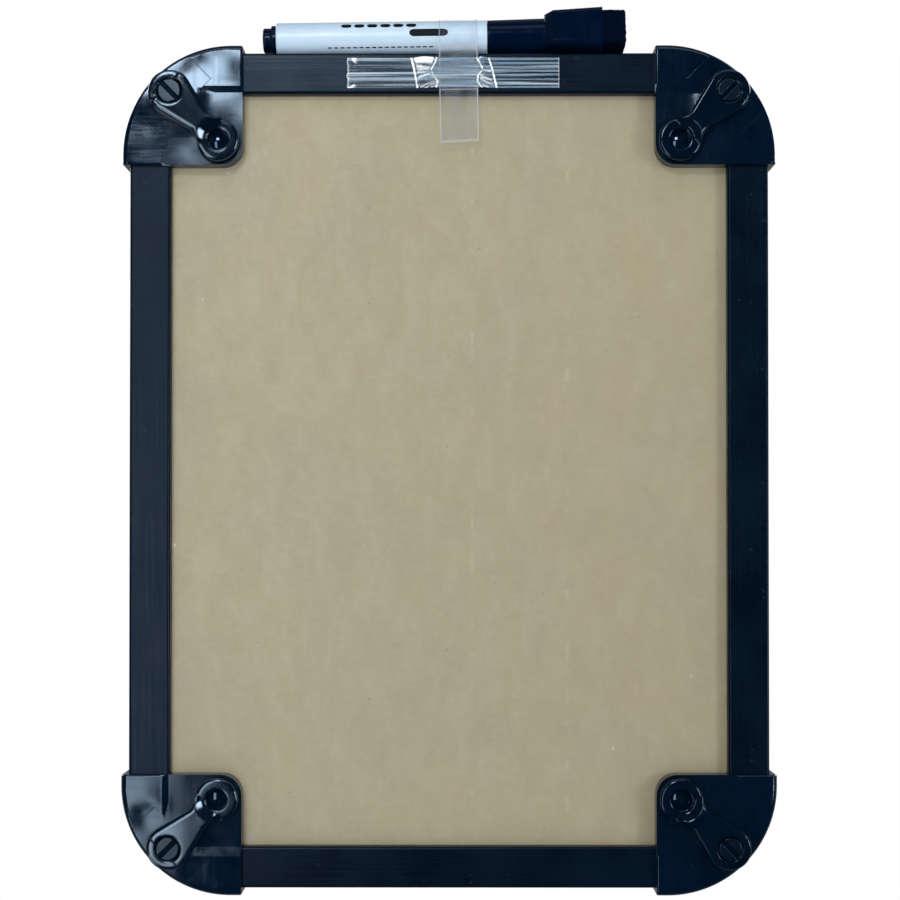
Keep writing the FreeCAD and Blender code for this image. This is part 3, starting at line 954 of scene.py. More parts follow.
@dataclass(frozen=True)
class ClearTape:
    """Stretched clear tape: long bright streaks of painted reflection, more where it has let go, and white
    where it is creased, partly a painted highlight.
    """

    # Painted reflection: the streak and glint colours stand in for light caught by the tape's wrinkles.
    streak: Colour = (0.232, 0.36, 0.485)
    glint: Colour = (0.7, 0.75, 0.8)
    crease: Colour = (0.93, 0.94, 0.92)
    crease_and_glint_white: Ramp = (0.25, 0.7, 0.0, 1.0)
    bands: Pattern = Pattern(950.0, 2.0, 0.55, stretch=(0.016, 1.0, 1.0))
    band_cover: Ramp = (0.44, 0.6, 0.02, 0.6)
    band_depth: float = 0.25 * MM
    line_pitch: float = 2.0 * math.pi / (1.35 * MM)
    line_wander: float = 9.0
    line_cover: Ramp = (-0.35, 0.45, 0.02, 0.5)
    line_side: Ramp = (0.0, 14.0 * MM, 0.0, 1.0)
    lift_cover: float = 0.2
    fine: Pattern = Pattern(2300.0, 2.0, 0.5, stretch=(0.01, 1.0, 1.0))
    fine_cover: Ramp = (0.56, 0.66, 0.0, 0.3)
    fine_glint: Ramp = (0.56, 0.68, 0.0, 0.6)
    roughness: float = 0.22
    ior: float = 1.5

    def sheen_veil(self, graph: ShaderGraph, bands: Socket, fine: Socket) -> Socket:
        """Adds the tape's cover of painted reflection where it isn't creased: soft bands, and crisp lines to
        the right.

        Args:
            graph: Nodes of the material.
            bands: Noise of the bands.
            fine: Noise of the fine streaks.

        Returns:
            The cover.
        """
        soft = graph.remap(bands, self.band_cover)
        wander = graph.times(bands, self.line_wander)
        lines = graph.calc("SINE", graph.calc("MULTIPLY_ADD", graph.axis("Z"), self.line_pitch, wander))
        more = graph.calc("SUBTRACT", graph.remap(lines, self.line_cover), soft)
        sheen_veil = graph.calc("MULTIPLY_ADD", graph.remap(graph.axis("X"), self.line_side), more, soft)
        sheen_veil = graph.calc("ADD", sheen_veil, graph.times(graph.attribute("lift"), self.lift_cover))
        return graph.calc("ADD", sheen_veil, graph.remap(fine, self.fine_cover))

    def material(self, name: str) -> bpy.types.Material:
        """Makes the finish of the tape.

        Args:
            name: Name of the material.

        Returns:
            The material.
        """
        graph = ShaderGraph(name)
        bands = graph.cloud(self.bands)
        fine = graph.cloud(self.fine)
        # The crease value whitens the tape at creases, partly real and partly painted highlight, and at
        # painted glints and the painted highlight of the upper left tent.
        white = graph.remap(graph.attribute("crease"), self.crease_and_glint_white)
        lit = graph.layer(self.streak, fine, self.fine_glint, self.glint)
        cover = graph.calc("ADD", self.sheen_veil(graph, bands, fine), white)
        return graph.finish(
            Base_Color=graph.blend(white, lit, self.crease),
            Roughness=self.roughness,
            Normal=graph.bumps(bands, self.band_depth),
            IOR=self.ior,
            Alpha=graph.calc("MINIMUM", cover, 1.0),
        )


@dataclass(frozen=True)
class Ferrite:
    """Grey sintered magnet."""

    grey: Colour = (0.055, 0.055, 0.06)
    bright: Colour = (0.12, 0.12, 0.125)
    metallic: float = 0.4
    roughness: float = 0.6
    grains: Pattern = Pattern(2500.0, 4.0, 0.7)
    grain_depth: float = 0.02 * MM

    def material(self, name: str) -> bpy.types.Material:
        """Makes the finish of the magnet.

        Args:
            name: Name of the material.

        Returns:
            The material.
        """
        graph = ShaderGraph(name)
        grains = graph.cloud(self.grains)
        return graph.finish(
            Base_Color=graph.blend(grains, self.grey, self.bright),
            Metallic=self.metallic,
            Roughness=self.roughness,
            Normal=graph.bumps(grains, self.grain_depth),
        )


def new_piece(name: str, mesh: bmesh.types.BMesh, material: bpy.types.Material) -> bpy.types.Object:
    """Makes an object of a finished bmesh.

    Args:
        name: Name of the piece.
        mesh: The shape, which is freed.
        material: Its finish.

    Returns:
        The new object, linked to the scene.
    """
    data = bpy.data.meshes.new(name)
    mesh.to_mesh(data)
    mesh.free()
    data.materials.append(material)
    data.polygons.foreach_set("use_smooth", [True] * len(data.polygons))
    piece = bpy.data.objects.new(name, data)
    bpy.context.scene.collection.objects.link(piece)
    return piece


def paint(node: bpy.types.Object, material: bpy.types.Material) -> None:
    """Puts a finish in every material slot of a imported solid.

    Args:
        node: Object of the solid.
        material: The finish.
    """
    for slot in node.material_slots:
        slot.material = material
    log.info("%s: %s", node.name, material.name)


def join(mesh: bmesh.types.BMesh, part: bmesh.types.BMesh) -> None:
    """Adds one shape to another.

    Args:
        mesh: Shape that takes the other.
        part: Shape that is added, and freed.
    """
    shape = bpy.data.meshes.new("part")
    part.to_mesh(shape)
    part.free()
    mesh.from_mesh(shape)
    bpy.data.meshes.remove(shape)


def thicken(piece: bpy.types.Object, thickness: float) -> None:
    """Gives a sheet its thickness, half to each side.

    Args:
        piece: The sheet.
        thickness: The thickness, in metres.
    """
    wall = piece.modifiers.new("wall", "SOLIDIFY")
    wall.thickness = thickness
    wall.offset = 0.0


def settle(piece: bpy.types.Object) -> None:
    """Applies a piece's modifiers to its mesh.

    Args:
        piece: The piece.
    """
    graph = bpy.context.evaluated_depsgraph_get()
    shaped = bpy.data.meshes.new_from_object(piece.evaluated_get(graph))
    old = piece.data
    piece.modifiers.clear()
    piece.data = shaped
    shaped.name = piece.name
    bpy.data.meshes.remove(old)


def stripe(mesh: bmesh.types.BMesh, edges: list[bmesh.types.BMEdge], steps: list[float]) -> None:
    """Draws a chain of edges out along x.

    Args:
        mesh: Shape that holds the edges.
        edges: The chain.
        steps: Width of each stripe, in metres.
    """
    for width in steps:
        drawn = bmesh.ops.extrude_edge_only(mesh, edges=edges)["geom"]
        verts = [item for item in drawn if isinstance(item, bmesh.types.BMVert)]
        edges = [item for item in drawn if isinstance(item, bmesh.types.BMEdge)]
        bmesh.ops.translate(mesh, verts=verts, vec=(width, 0.0, 0.0))


@dataclass(frozen=True)
class Seat:
    """How one corner and its tab sit.

    The corner and the tab lean a little, and the corner may be bowed along x. The recess walls are eased
    by shares, and the tab has its own rounded rim and specular level, raised on the left tabs as a painted
    highlight.
    """

    corner: Pair = (0.0, 0.0)
    tab: Pair = (0.0, 0.0)
    # Specular level of the tab: higher on the left tabs to brighten their highlights, a painted highlight.
    ease: Pair = (0.85, 0.85)
    highlight_gloss: float = 0.5
    rim: float = 0.5 * MM
    ripple: float = 0.6 * MM
    bow: float = 0.0


@dataclass
class BoardFrame:
    """Rails, corners, hanger tabs and rivets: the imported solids, dressed."""

    nodes: dict[str, bpy.types.Object]
    ring: Vector
    wall_offset: float = 1.2 * MM
    rail: ExtrudedPlastic = ExtrudedPlastic()
    corner: CornerPlastic = CornerPlastic((0.0003, 0.0046, 0.0145), (0.0008, 0.0070, 0.0205), 0.12)
    tab: MouldedPlastic = MouldedPlastic(
        (0.0003, 0.0038, 0.0115), (0.0006, 0.0058, 0.0165), 0.11, ripple=0.12 * MM
    )
    rivet: MouldedPlastic = MouldedPlastic(
        (0.0005, 0.0042, 0.0120),
        (0.0012, 0.0070, 0.0180),
        0.24,
        shine=0.35,
        soft=0.4 * MM,
        # The rivet's slot gets painted shade through its lowered specular level.
        slot_shade=(0.7 * MM, 1.15 * MM),
    )
    seats: dict[str, Seat] = field(default_factory=lambda: {
        "top_left": Seat(
            corner=(-0.03, -0.006), tab=(-0.045, 0.035), ease=(0.85, 0.3), highlight_gloss=1.0, rim=1.5 * MM
        ),
        "top_right": Seat(),
        "bottom_left": Seat(
            corner=(-0.12, 0.02),
            tab=(-0.009, 0.0),
            ease=(0.5, 0.9),
            highlight_gloss=1.0,
            rim=1.2 * MM,
            ripple=0.3 * MM,
            bow=-1.1,
        ),
        "bottom_right": Seat(),
    })

    def dress_rails(self) -> None:
        """Gives the rails their finish."""
        level = self.rail.material("rail_plastic_level", Run.ALONG_X)
        upright = self.rail.material("rail_plastic_upright", Run.ALONG_Z)
        for names, finish in ((LEVEL_RAILS, level), (UPRIGHT_RAILS, upright)):
            for name in names:
                paint(self.nodes[name], finish)

    def dress_corners(self) -> None:
        """Gives each corner, its tab and its rivet their finish."""
        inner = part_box("rail_right")[0].x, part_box("rail_top")[0].z
        walls = inner[0] + self.wall_offset, inner[1] + self.wall_offset
        corner = replace(self.corner, dome=(abs(self.ring.x), abs(self.ring.z)), walls=walls)
        rivet = self.rivet.material("tab_rivet_plastic")
        for spot in CORNERS:
            seat = self.seats[spot]
            moulding = replace(corner, lean=seat.corner, bow=seat.bow, ease=seat.ease, ripple=seat.ripple)
            paint(self.nodes[f"corner_{spot}"], moulding.material(f"corner_plastic_{spot}"))
            # The tab's specular level is raised on the left tabs: a painted highlight.
            lever = replace(self.tab, lean=seat.tab, shine=seat.highlight_gloss, soft=seat.rim)
            paint(self.nodes[f"hanger_tab_{spot}"], lever.material(f"hanger_tab_plastic_{spot}"))
            paint(self.nodes[f"tab_rivet_{spot}"], rivet)

    def dress(self) -> None:
        """Gives every frame piece its finish."""
        self.dress_rails()
        self.dress_corners()


@dataclass
class Panel:
    """Backing board and writing sheet."""

    nodes: dict[str, bpy.types.Object]

    def dress(self) -> None:
        """Gives both sheets their finish."""
        paint(self.nodes["backing_board"], Chipboard().material("chipboard"))
        paint(self.nodes["writing_sheet"], WhiteLacquer().material("white_lacquer"))


@dataclass(frozen=True)
class BarRow:
    """Row of printed bars: first middle, pitch, count, a bar's length and height in mm, turn in degrees."""

    first: float
    pitch: float
    count: int
    length: float
    height: float
    turn: float


@dataclass
class Marker:
    """Dry-erase marker: dressed solids, plain printed bars and a matted felt eraser."""

    nodes: dict[str, bpy.types.Object]
    direction: Vector
    cap: MouldedPlastic = MouldedPlastic(
        (0.0003, 0.0038, 0.0160), (0.0008, 0.0062, 0.0230), 0.13, shine=0.1, soft=1.0 * MM
    )
    holder: MouldedPlastic = MouldedPlastic((0.01, 0.01, 0.012), (0.016, 0.016, 0.02), 0.4)
    felt: PressedFibre = PressedFibre((0.0004, 0.0026, 0.0115), (0.0014, 0.0064, 0.0210))
    nib: PressedFibre = PressedFibre((0.008, 0.008, 0.012), (0.02, 0.02, 0.026)).finer(5.0 / 3.0)
    reservoir: PressedFibre = PressedFibre((0.02, 0.02, 0.03), (0.05, 0.05, 0.06))
    bar_rows: tuple[BarRow, ...] = (
        BarRow(-6.7, 0.0, 1, 12.8, 2.5, 5.0),
        BarRow(-34.0, 4.3, 6, 3.4, 1.7, 35.0),
        BarRow(-39.5, 2.1, 17, 1.5, 0.45, -43.0),
    )
    grid_columns: int = 24
    grid_rows: int = 6
    print_lift: float = 0.012 * MM
    print_film: float = 0.02 * MM
    felt_weld: float = 0.001 * MM
    felt_voxel: float = 0.22 * MM
    felt_nap: float = 0.16 * MM
    felt_shrink: float = 0.1
    felt_root: float = 1.2 * MM
    clump_scale: float = 900.0
    tuft_scale: float = 2600.0
    tuft_share: float = 0.6
    felt_hairs: int = 700
    hair_seed: int = 11
    hair_start: float = 0.5 * MM
    hair_radius: float = 0.022 * MM
    hair_taper: float = 0.4
    hair_rise: float = 0.4
    hair_sides: int = 3
    hair_lean: float = 0.9
    hair_lengths: Pair = (0.35, 0.8)
    middle: Vector = field(init=False)
    radius: float = field(init=False)

    def __post_init__(self) -> None:
        """Takes the barrel's middle and radius from its box."""
        low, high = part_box("marker_barrel")
        self.middle = (low + high) / 2.0
        self.radius = (high.y - low.y) / 2.0

    def dress(self) -> None:
        """Gives the marker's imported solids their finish."""
        paint(self.nodes["marker_barrel"], BarrelPlastic().material("barrel_plastic"))
        black = self.cap.material("cap_plastic")
        for name in ("marker_cap", "marker_end_plug"):
            paint(self.nodes[name], black)
        paint(self.nodes["nib_holder"], self.holder.material("nib_holder_plastic"))
        paint(self.nodes["marker_nib"], self.nib.material("nib_felt"))
        paint(self.nodes["ink_reservoir"], self.reservoir.material("ink_fibre"))
        paint(self.nodes["cap_magnet"], Ferrite().material("ferrite"))

    def axis_at(self, x: float) -> Vector:
        """Point of the marker's axis over one x."""
        return self.middle + self.direction * ((x - self.middle.x) / self.direction.x)

    def print_bar(self, mesh: bmesh.types.BMesh, row: BarRow, step: int) -> None:
        """Adds one bar with round ends, wrapped on the barrel.

        Args:
            mesh: Shape that takes the bar.
            row: The bar's row.
            step: Its number in the row, from 0.
        """
        along = (row.first + row.pitch * step) * MM
        radius = self.radius + self.print_lift
        flat = bmesh.new()
        bmesh.ops.create_grid(flat, x_segments=self.grid_columns, y_segments=self.grid_rows, size=0.5)
        half = row.height * MM / 2.0
        reach = row.length * MM / 2.0 - half
        for vert in flat.verts:
            up = vert.co.y * 2.0
            bulge = half * math.sqrt(max(0.0, 1.0 - up * up))
            across = vert.co.x * 2.0 * (reach + bulge)
            angle = math.radians(row.turn) + up * half / radius
            centre = self.axis_at(along + across)
            vert.co = centre + Vector((0.0, -math.cos(angle), math.sin(angle))) * radius
        join(mesh, flat)

    def printed_bars(self) -> bpy.types.Object:
        """Makes the plain bars of ink on the barrel.

        Returns:
            The bars, riding on the marker.
        """
        mesh = bmesh.new()
        for row in self.bar_rows:
            for step in range(row.count):
                self.print_bar(mesh, row, step)
        bmesh.ops.recalc_face_normals(mesh, faces=mesh.faces)
        piece = new_piece("barrel_print", mesh, PrintInk().material("print_ink"))
        thicken(piece, self.print_film)
        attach(piece, "marker")
        return piece

    def hair(self, mesh: bmesh.types.BMesh, root: Vector, lean: Vector, length: float) -> None:
        """Adds one short hair to the felt.

        Args:
            mesh: Shape that takes the hair.
            root: Where it grows.
            lean: The way it points.
            length: Its length.
        """
        cone = bmesh.ops.create_cone(
            mesh,
            cap_ends=True,
            segments=self.hair_sides,
            radius1=self.hair_radius,
            radius2=self.hair_radius * self.hair_taper,
            depth=length,
        )
        aim = Vector((0.0, 0.0, 1.0)).rotation_difference(lean).to_matrix().to_4x4()
        place = Matrix.Translation(root + lean * (length * self.hair_rise)) @ aim
        bmesh.ops.transform(mesh, matrix=place, verts=cone["verts"])

    def nap(self, surface: list[tuple[Vector, Vector]], seat: float) -> bmesh.types.BMesh:
        """Makes the stray hairs of the felt.

        Args:
            surface: Points of the felt and their normals.
            seat: The x of the cap's end, near which no hair grows.

        Returns:
            The hairs.
        """
        dice = random.Random(self.hair_seed)
        hairs = bmesh.new()
        for root, normal in dice.sample(surface, self.felt_hairs):
            if root.x > seat + self.hair_start:
                lean = normal + Vector([dice.uniform(-self.hair_lean, self.hair_lean) for _ in range(3)])
                self.hair(hairs, root, lean.normalized(), dice.uniform(*self.hair_lengths) * MM)
        return hairs

    def felt_block(self) -> bpy.types.Object:
        """Makes an even mesh of the plain pad.

        Returns:
            The new piece.
        """
        mesh = bmesh.new()
        mesh.from_mesh(self.nodes["felt_eraser"].data)
        bmesh.ops.remove_doubles(mesh, verts=mesh.verts, dist=self.felt_weld)
        piece = new_piece("felt_pad", mesh, self.felt.material("black_felt"))
        remesh = piece.modifiers.new("even", "REMESH")
        remesh.mode = "VOXEL"
        remesh.voxel_size = self.felt_voxel
        settle(piece)
        return piece

    def felt_eraser(self) -> bpy.types.Object:
        """Makes the matted felt with stray hairs, in place of the plain pad.

        Returns:
            The felt, riding on the cap.
        """
        piece = self.felt_block()
        mesh = bmesh.new()
        mesh.from_mesh(piece.data)
        mesh.normal_update()
        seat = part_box("marker_cap")[1].x
        surface = [(vert.co.copy(), vert.normal.copy()) for vert in mesh.verts]
        for vert in mesh.verts:
            tuft = self.tuft_share * noise.noise(vert.co * self.tuft_scale)
            clump = noise.noise(vert.co * self.clump_scale) + tuft
            free = smooth_step(vert.co.x, seat, seat + self.felt_root)
            vert.co += vert.normal * (clump * self.felt_nap * free - self.felt_shrink * self.felt_nap)
        join(mesh, self.nap(surface, seat))
        mesh.to_mesh(piece.data)
        mesh.free()
        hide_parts("felt_eraser")
        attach(piece, "cap")
        return piece


@dataclass
class MarkerStrap:
    """Clear strip looped round the barrel, with both ends down the top rail's back as a tail.

    The runs from the loop to the tail are points behind a layer and over the weld, in millimetres. The
    tail's levels are over its bend, in millimetres too.
    """

    marker: Marker
    film: float = 0.2 * MM
    stripes: int = 8
    loop_gap: float = 0.4 * MM
    loop_turn: float = -math.radians(270.0)
    arc_steps: int = 36
    layer_gap: float = 0.12 * MM
    layer_short: float = 0.6 * MM
    layer_slip: float = 0.55 * MM
    layer_split: Pair = (-6.05 * MM, -5.95 * MM)
    weld_rise: float = 0.5 * MM
    weld_band: Pair = (0.8 * MM, 2.6 * MM)
    outer_run: tuple[Pair, ...] = ((0.05, 2.3), (0.05, 2.0), (0.05, 0.4), (0.05, 0.1), (0.0, -2.0))
    inner_run: tuple[Pair, ...] = ((1.3, 0.05), (0.25, -0.35), (0.0, -1.6))
    bend_drop: float = 12.2 * MM
    tail_levels: tuple[float, ...] = (6.0, 3.0, 0.35, 0.0, -0.35, -3.0, -7.0, -11.0)
    tail_drift: float = 0.016
    tail_start: Pair = (-1.0 * MM, 2.0 * MM)
    foot_edge: float = 0.45 * MM
    foot_skew: float = 0.05
    foot_hang: float = 28.0 * MM
    sway: float = 0.09 * MM
    sway_scale: Pair = (60.0, 90.0)
    sway_range: Pair = (2.0 * MM, 20.0 * MM)
    rim_width: float = 0.4 * MM
    rim_reach: float = 0.1 * MM
    # Whiteness of the painted highlight along the bend.
    bend_highlight: float = 0.45
    weld_rim: float = 0.3
    low: Vector = field(init=False)
    high: Vector = field(init=False)
    middle: Vector = field(init=False)
    rail_back: float = field(init=False)
    rail_top: float = field(init=False)

    def __post_init__(self) -> None:
        """Takes the strap's place from its box, the marker's axis and the top rail."""
        self.low, self.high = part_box("marker_strap")
        self.middle = self.marker.axis_at((self.low.x + self.high.x) / 2.0)
        rail_low, rail_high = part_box("rail_top")
        self.rail_back = rail_low.y
        self.rail_top = rail_high.z

    def tail(self, run: tuple[Pair, ...], depth: float, foot: float) -> list[Pair]:
        """Works out one layer's way from the loop down to its foot.

        Args:
            run: Points over the weld.
            depth: The layer's y.
            foot: The z of its end.

        Returns:
            The y and z of each point.
        """
        weld = self.rail_top + self.weld_rise
        bend = self.rail_top - self.bend_drop
        points = [(depth + behind * MM, weld + up * MM) for behind, up in run]
        levels = [bend + up * MM for up in self.tail_levels] + [foot + self.foot_edge, foot]
        return points + [(depth, level) for level in levels if level < points[-1][1]]

    def profile(self, mesh: bmesh.types.BMesh) -> list[bmesh.types.BMEdge]:
        """Adds the strip's path, from the outer end of the tail round the barrel to the inner end.

        Args:
            mesh: Empty shape that takes the path, at the strip's left edge.

        Returns:
            The path's edges.
        """
        radius = self.marker.radius + self.loop_gap
        inner_y = self.rail_back - self.layer_gap - self.film / 2.0
        outer_y = inner_y - self.film - self.layer_gap
        back = mesh.verts.new((self.low.x, self.middle.y - radius, self.middle.z))
        arc = bmesh.ops.spin(
            mesh,
            geom=[back],
            cent=self.middle,
            axis=(1.0, 0.0, 0.0),
            dvec=(0.0, 0.0, 0.0),
            angle=self.loop_turn,
            steps=self.arc_steps,
        )
        outer = self.tail(self.outer_run, outer_y, self.low.z)
        inner = self.tail(self.inner_run, inner_y, self.low.z + self.layer_short)
        for last, points in ((back, outer), (arc["geom_last"][0], inner)):
            for y, z in points:
                here = mesh.verts.new((self.low.x, y, z))
                mesh.edges.new((last, here))
                last = here
        return list(mesh.edges)

    def highlight_and_weld_share(self, place: Vector) -> float:
        """Works out how white the film is at a place: a painted highlight at its cut edges and bend, and its
        whiter weld.

        Args:
            place: The place, before the tail is set askew.

        Returns:
            1 at the cut edges, less at the bend and the weld, and 0 elsewhere.
        """
        side = min(place.x - self.low.x, self.high.x - place.x)
        over_foot = place.z - self.low.z
        at_foot = min(abs(over_foot), abs(over_foot - self.layer_short)) < self.rim_reach
        if side < self.rim_width / 2.0 or at_foot:
            return 1.0
        over_rail = place.z - self.rail_top
        if abs(over_rail + self.bend_drop) < self.rim_reach:
            return self.bend_highlight
        in_weld = place.y < self.middle.y and self.weld_band[0] < over_rail < self.weld_band[1]
        return self.weld_rim if in_weld else 0.0

    def lie(self, place: Vector) -> Vector:
        """Works out how the strip follows the marker's tilt, and hangs a little askew below it.

        Args:
            place: A place on the straight strip.

        Returns:
            How far that place moves.
        """
        hang = self.rail_top - place.z
        start, end = self.tail_start
        above = smooth_step(place.z, self.rail_top + start, self.rail_top + end)
        split, done = self.layer_split
        inner = smooth_step(place.y, self.middle.y + split, self.middle.y + done) * (1.0 - above)
        drift = max(0.0, hang) * self.tail_drift + inner * self.layer_slip
        ruffled = ruffle(Layer.SWAY, place.x * self.sway_scale[0], place.z * self.sway_scale[1])
        wave = ruffled * self.sway * smooth_step(hang, *self.sway_range)
        across = place.x - self.middle.x
        tilt = across * self.marker.direction.z / self.marker.direction.x * above
        skew = across * self.foot_skew * (1.0 - above) * smooth_step(hang, 0.0, self.foot_hang)
        return Vector((drift, wave, tilt + skew))

    def build(self) -> bpy.types.Object:
        """Makes the strap.

        Returns:
            The strap, riding on the board.
        """
        mesh = bmesh.new()
        edges = self.profile(mesh)
        inside = (self.high.x - self.low.x - 2.0 * self.rim_width) / self.stripes
        stripe(mesh, edges, [self.rim_width] + [inside] * self.stripes + [self.rim_width])
        # Painted highlight along the cut edges and the bend, and the real whiter weld.
        rim = mesh.verts.layers.float.new("rim")
        for vert in mesh.verts:
            vert[rim] = self.highlight_and_weld_share(vert.co)
            vert.co += self.lie(vert.co.copy())
        bmesh.ops.recalc_face_normals(mesh, faces=mesh.faces)
        piece = new_piece("clear_strap", mesh, ClearFilm().material("clear_film"))
        thicken(piece, self.film)
        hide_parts("marker_strap")
        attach(piece, "board")
        return piece


@dataclass
class Fold:
    """One crease of the tape: its x at shares of the tape's height from the foot up, in millimetres."""

    stops: list[float]
    width: float

    def at(self, share: float) -> float:
        """Works out the place of the crease.

        Args:
            share: Share of the tape's height.

        Returns:
            The crease's x, in metres.
        """
        last = len(self.stops) - 1
        step = min(int(share * last), last - 1)
        part = share * last - step
        return (self.stops[step] * (1.0 - part) + self.stops[step + 1] * part) * MM


@dataclass
class TapeSpot:
    """One point of the flat tape: its shares of the width and height, its place and how far it is raised."""

    across: float
    share: float
    x: float
    z: float
    rise: float

    @property
    def tent(self) -> float:
        """How far the point is inside a tent: 0 where the tape lies flat or on the strap, 1 half way up."""
        return 4.0 * self.rise * (1.0 - self.rise)


@dataclass
class StrapTape:
    """Clear tape along the top rail, drawn up over the strap in creased tents."""

    film: float = 0.08 * MM
    columns: int = 210
    rows: int = 36
    ripple: float = 0.03 * MM
    ripple_scale: Pair = (18.0, 720.0)
    pleat: float = 0.16 * MM
    pleat_scale: Pair = (10.0, 60.0)
    notch: float = 0.6
    gather: float = 0.4
    ragged: float = 0.5 * MM
    torn_scale: float = 650.0
    ends: Pair = (0.02, 0.008)
    end_white: float = 0.55
    fold_scale: Pair = (300.0, 900.0)
    fold_white: Pair = (0.75, 0.5)
    fold_soft: Pair = (0.4, 1.3)
    # Painted glints in the tents.
    glint_white: float = 0.48
    glint_tent: Pair = (0.05, 0.3)
    glint_range: Pair = (-0.05, 0.14)
    # Painted highlight along the top of the left tent.
    shine_white: float = 0.9
    shine_top: Pair = (0.7, 0.95)
    shine_tent: Pair = (0.05, 0.2)
    shine_side: Pair = (0.0, 2.0 * MM)
    smudge_white: float = 0.8
    smudge_scale: Pair = (240.0, 330.0)
    smudge_range: Pair = (0.15, 0.4)
    smudge_reach: Pair = (1.0 * MM, 5.0 * MM)
    curl: float = 0.35 * MM
    curl_from: float = 0.9
    low: Vector = field(init=False)
    high: Vector = field(init=False)
    rail_back: float = field(init=False)
    folds: list[Fold] = field(init=False)

    def __post_init__(self) -> None:
        """Takes the tape's box and the rail's back, and sets the outer and inner crease of each tent."""
        self.low, self.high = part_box("strap_tape")
        self.rail_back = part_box("rail_top")[0].y
        self.folds = [
            Fold([-10.4, -11.0, -11.6, -12.4], 0.4),
            Fold([-4.2, -3.7, -5.0, -5.9, -4.6, -4.1], 0.35),
            Fold([10.9, 9.4, 9.6, 11.2, 10.2, 9.1], 0.35),
            Fold([15.8, 15.0, 14.2, 13.1], 0.4),
        ]

    def spot(self, flat: Vector) -> TapeSpot:
        """Works out one point of the tape.

        Args:
            flat: The point on a sheet of side 1 round the origin.

        Returns:
            The point on the tape.
        """
        across, share = flat.x + 0.5, flat.y + 0.5
        span = self.high - self.low
        x, z = self.low.x + across * span.x, self.low.z + share * span.z
        left_out, left_in, right_in, right_out = (fold.at(share) for fold in self.folds)
        rise = smooth_step(x, left_out, left_in) * (1.0 - smooth_step(x, right_in, right_out))
        return TapeSpot(across, share, x, z, rise)

    def pleats(self, spot: TapeSpot, layer: Layer) -> float:
        """Noise of one layer, drawn out in a fan from the strap's side."""
        ray = (spot.share - self.notch) / (1.0 - self.gather * spot.rise)
        return ruffle(layer, ray * self.pleat_scale[0], spot.x * self.pleat_scale[1])

    def end_shares(self, spot: TapeSpot) -> Pair:
        """How near a point is to the left and to the right end, from 0 to 1."""
        left, right = self.ends
        return max(0.0, 1.0 - spot.across / left), max(0.0, (spot.across - 1.0 + right) / right)

    def depth(self, spot: TapeSpot) -> float:
        """Works out how far back a point of the tape lies.

        Args:
            spot: The point.

        Returns:
            Its y.
        """
        flat = self.rail_back - self.film
        raised = self.low.y + self.film
        streak = ruffle(Layer.RIPPLE, spot.x * self.ripple_scale[0], spot.z * self.ripple_scale[1])
        ripple = abs(streak) * self.ripple * (1.0 - spot.rise)
        pleat = spot.tent * self.pleats(spot, Layer.PLEAT) * self.pleat
        return flat + (raised - flat) * spot.rise - ripple - pleat

    def whiteness(self, spot: TapeSpot) -> float:
        """Works out how white a point of the tape is.

        Args:
            spot: The point.

        Returns:
            The most that a crease, whose white is partly real and partly a painted highlight, a painted
            glint, the painted highlight on the upper left tent, a smudge or an end gives it.
        """
        # Crease whitening, partly real and partly a painted highlight.
        least, more = self.fold_white
        rough = least + more * ruffle(Layer.FOLD, spot.x * self.fold_scale[0], spot.z * self.fold_scale[1])
        offs = [abs(spot.x - fold.at(spot.share)) / (fold.width * MM) for fold in self.folds]
        marks = [rough * (1.0 - smooth_step(off, *self.fold_soft)) for off in offs]
        # Painted glints fanned across the tents.
        glint = smooth_step(self.pleats(spot, Layer.GLINT), *self.glint_range)
        marks.append(self.glint_white * smooth_step(spot.tent, *self.glint_tent) * glint)
        # Painted highlight along the top of the left tent.
        shine = smooth_step(spot.share, *self.shine_top) * smooth_step(spot.tent, *self.shine_tent)
        marks.append(self.shine_white * shine * (1.0 - smooth_step(spot.x, *self.shine_side)))
        smudge = ruffle(Layer.SMUDGE, spot.x * self.smudge_scale[0], spot.z * self.smudge_scale[1])
        near_end = 1.0 - smooth_step(spot.x - self.low.x, *self.smudge_reach)
        marks.append(self.smudge_white * near_end * smooth_step(smudge, *self.smudge_range))
        marks.append(self.end_white * max(self.end_shares(spot)))
        return max(0.0, *marks)

    def build(self) -> bpy.types.Object:
        """Makes the tape.

        Returns:
            The tape, riding on the board.
        """
        mesh = bmesh.new()
        bmesh.ops.create_grid(mesh, x_segments=self.columns, y_segments=self.rows, size=0.5)
        crease = mesh.verts.layers.float.new("crease")
        lift = mesh.verts.layers.float.new("lift")
        for vert in mesh.verts:
            spot = self.spot(vert.co)
            vert[crease] = self.whiteness(spot)
            vert[lift] = spot.rise
            torn = self.end_shares(spot)[0] * ruffle(Layer.TORN, 0.0, spot.z * self.torn_scale) * self.ragged
            curl = spot.tent * self.curl if spot.share > self.curl_from else 0.0
            vert.co = (spot.x + torn, self.depth(spot), spot.z + curl)
        bmesh.ops.recalc_face_normals(mesh, faces=mesh.faces)
        piece = new_piece("clear_tape", mesh, ClearTape().material("clear_tape"))
        thicken(piece, self.film)
        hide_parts("strap_tape")
        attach(piece, "board")
        return piece


@dataclass
class Softbox:
    """One studio lamp: the way it stands from the board, how far off, its size and its power."""

    name: str
    side: Triple
    distance: float
    width: float
    height: float
    power: float

    def place(self, target: Vector) -> None:
        """Puts the lamp in the scene.

        Args:
            target: Point that it is aimed at.
        """
        data = bpy.data.lights.new(self.name, "AREA")
        data.shape = "RECTANGLE"
        data.size, data.size_y = self.width, self.height
        data.energy = self.power
        lamp = bpy.data.objects.new(self.name, data)
        away = Vector(self.side).normalized()
        lamp.location = target + away * self.distance
        lamp.rotation_mode = "QUATERNION"
        lamp.rotation_quaternion = away.to_track_quat("Z", "Y")
        bpy.context.scene.collection.objects.link(lamp)


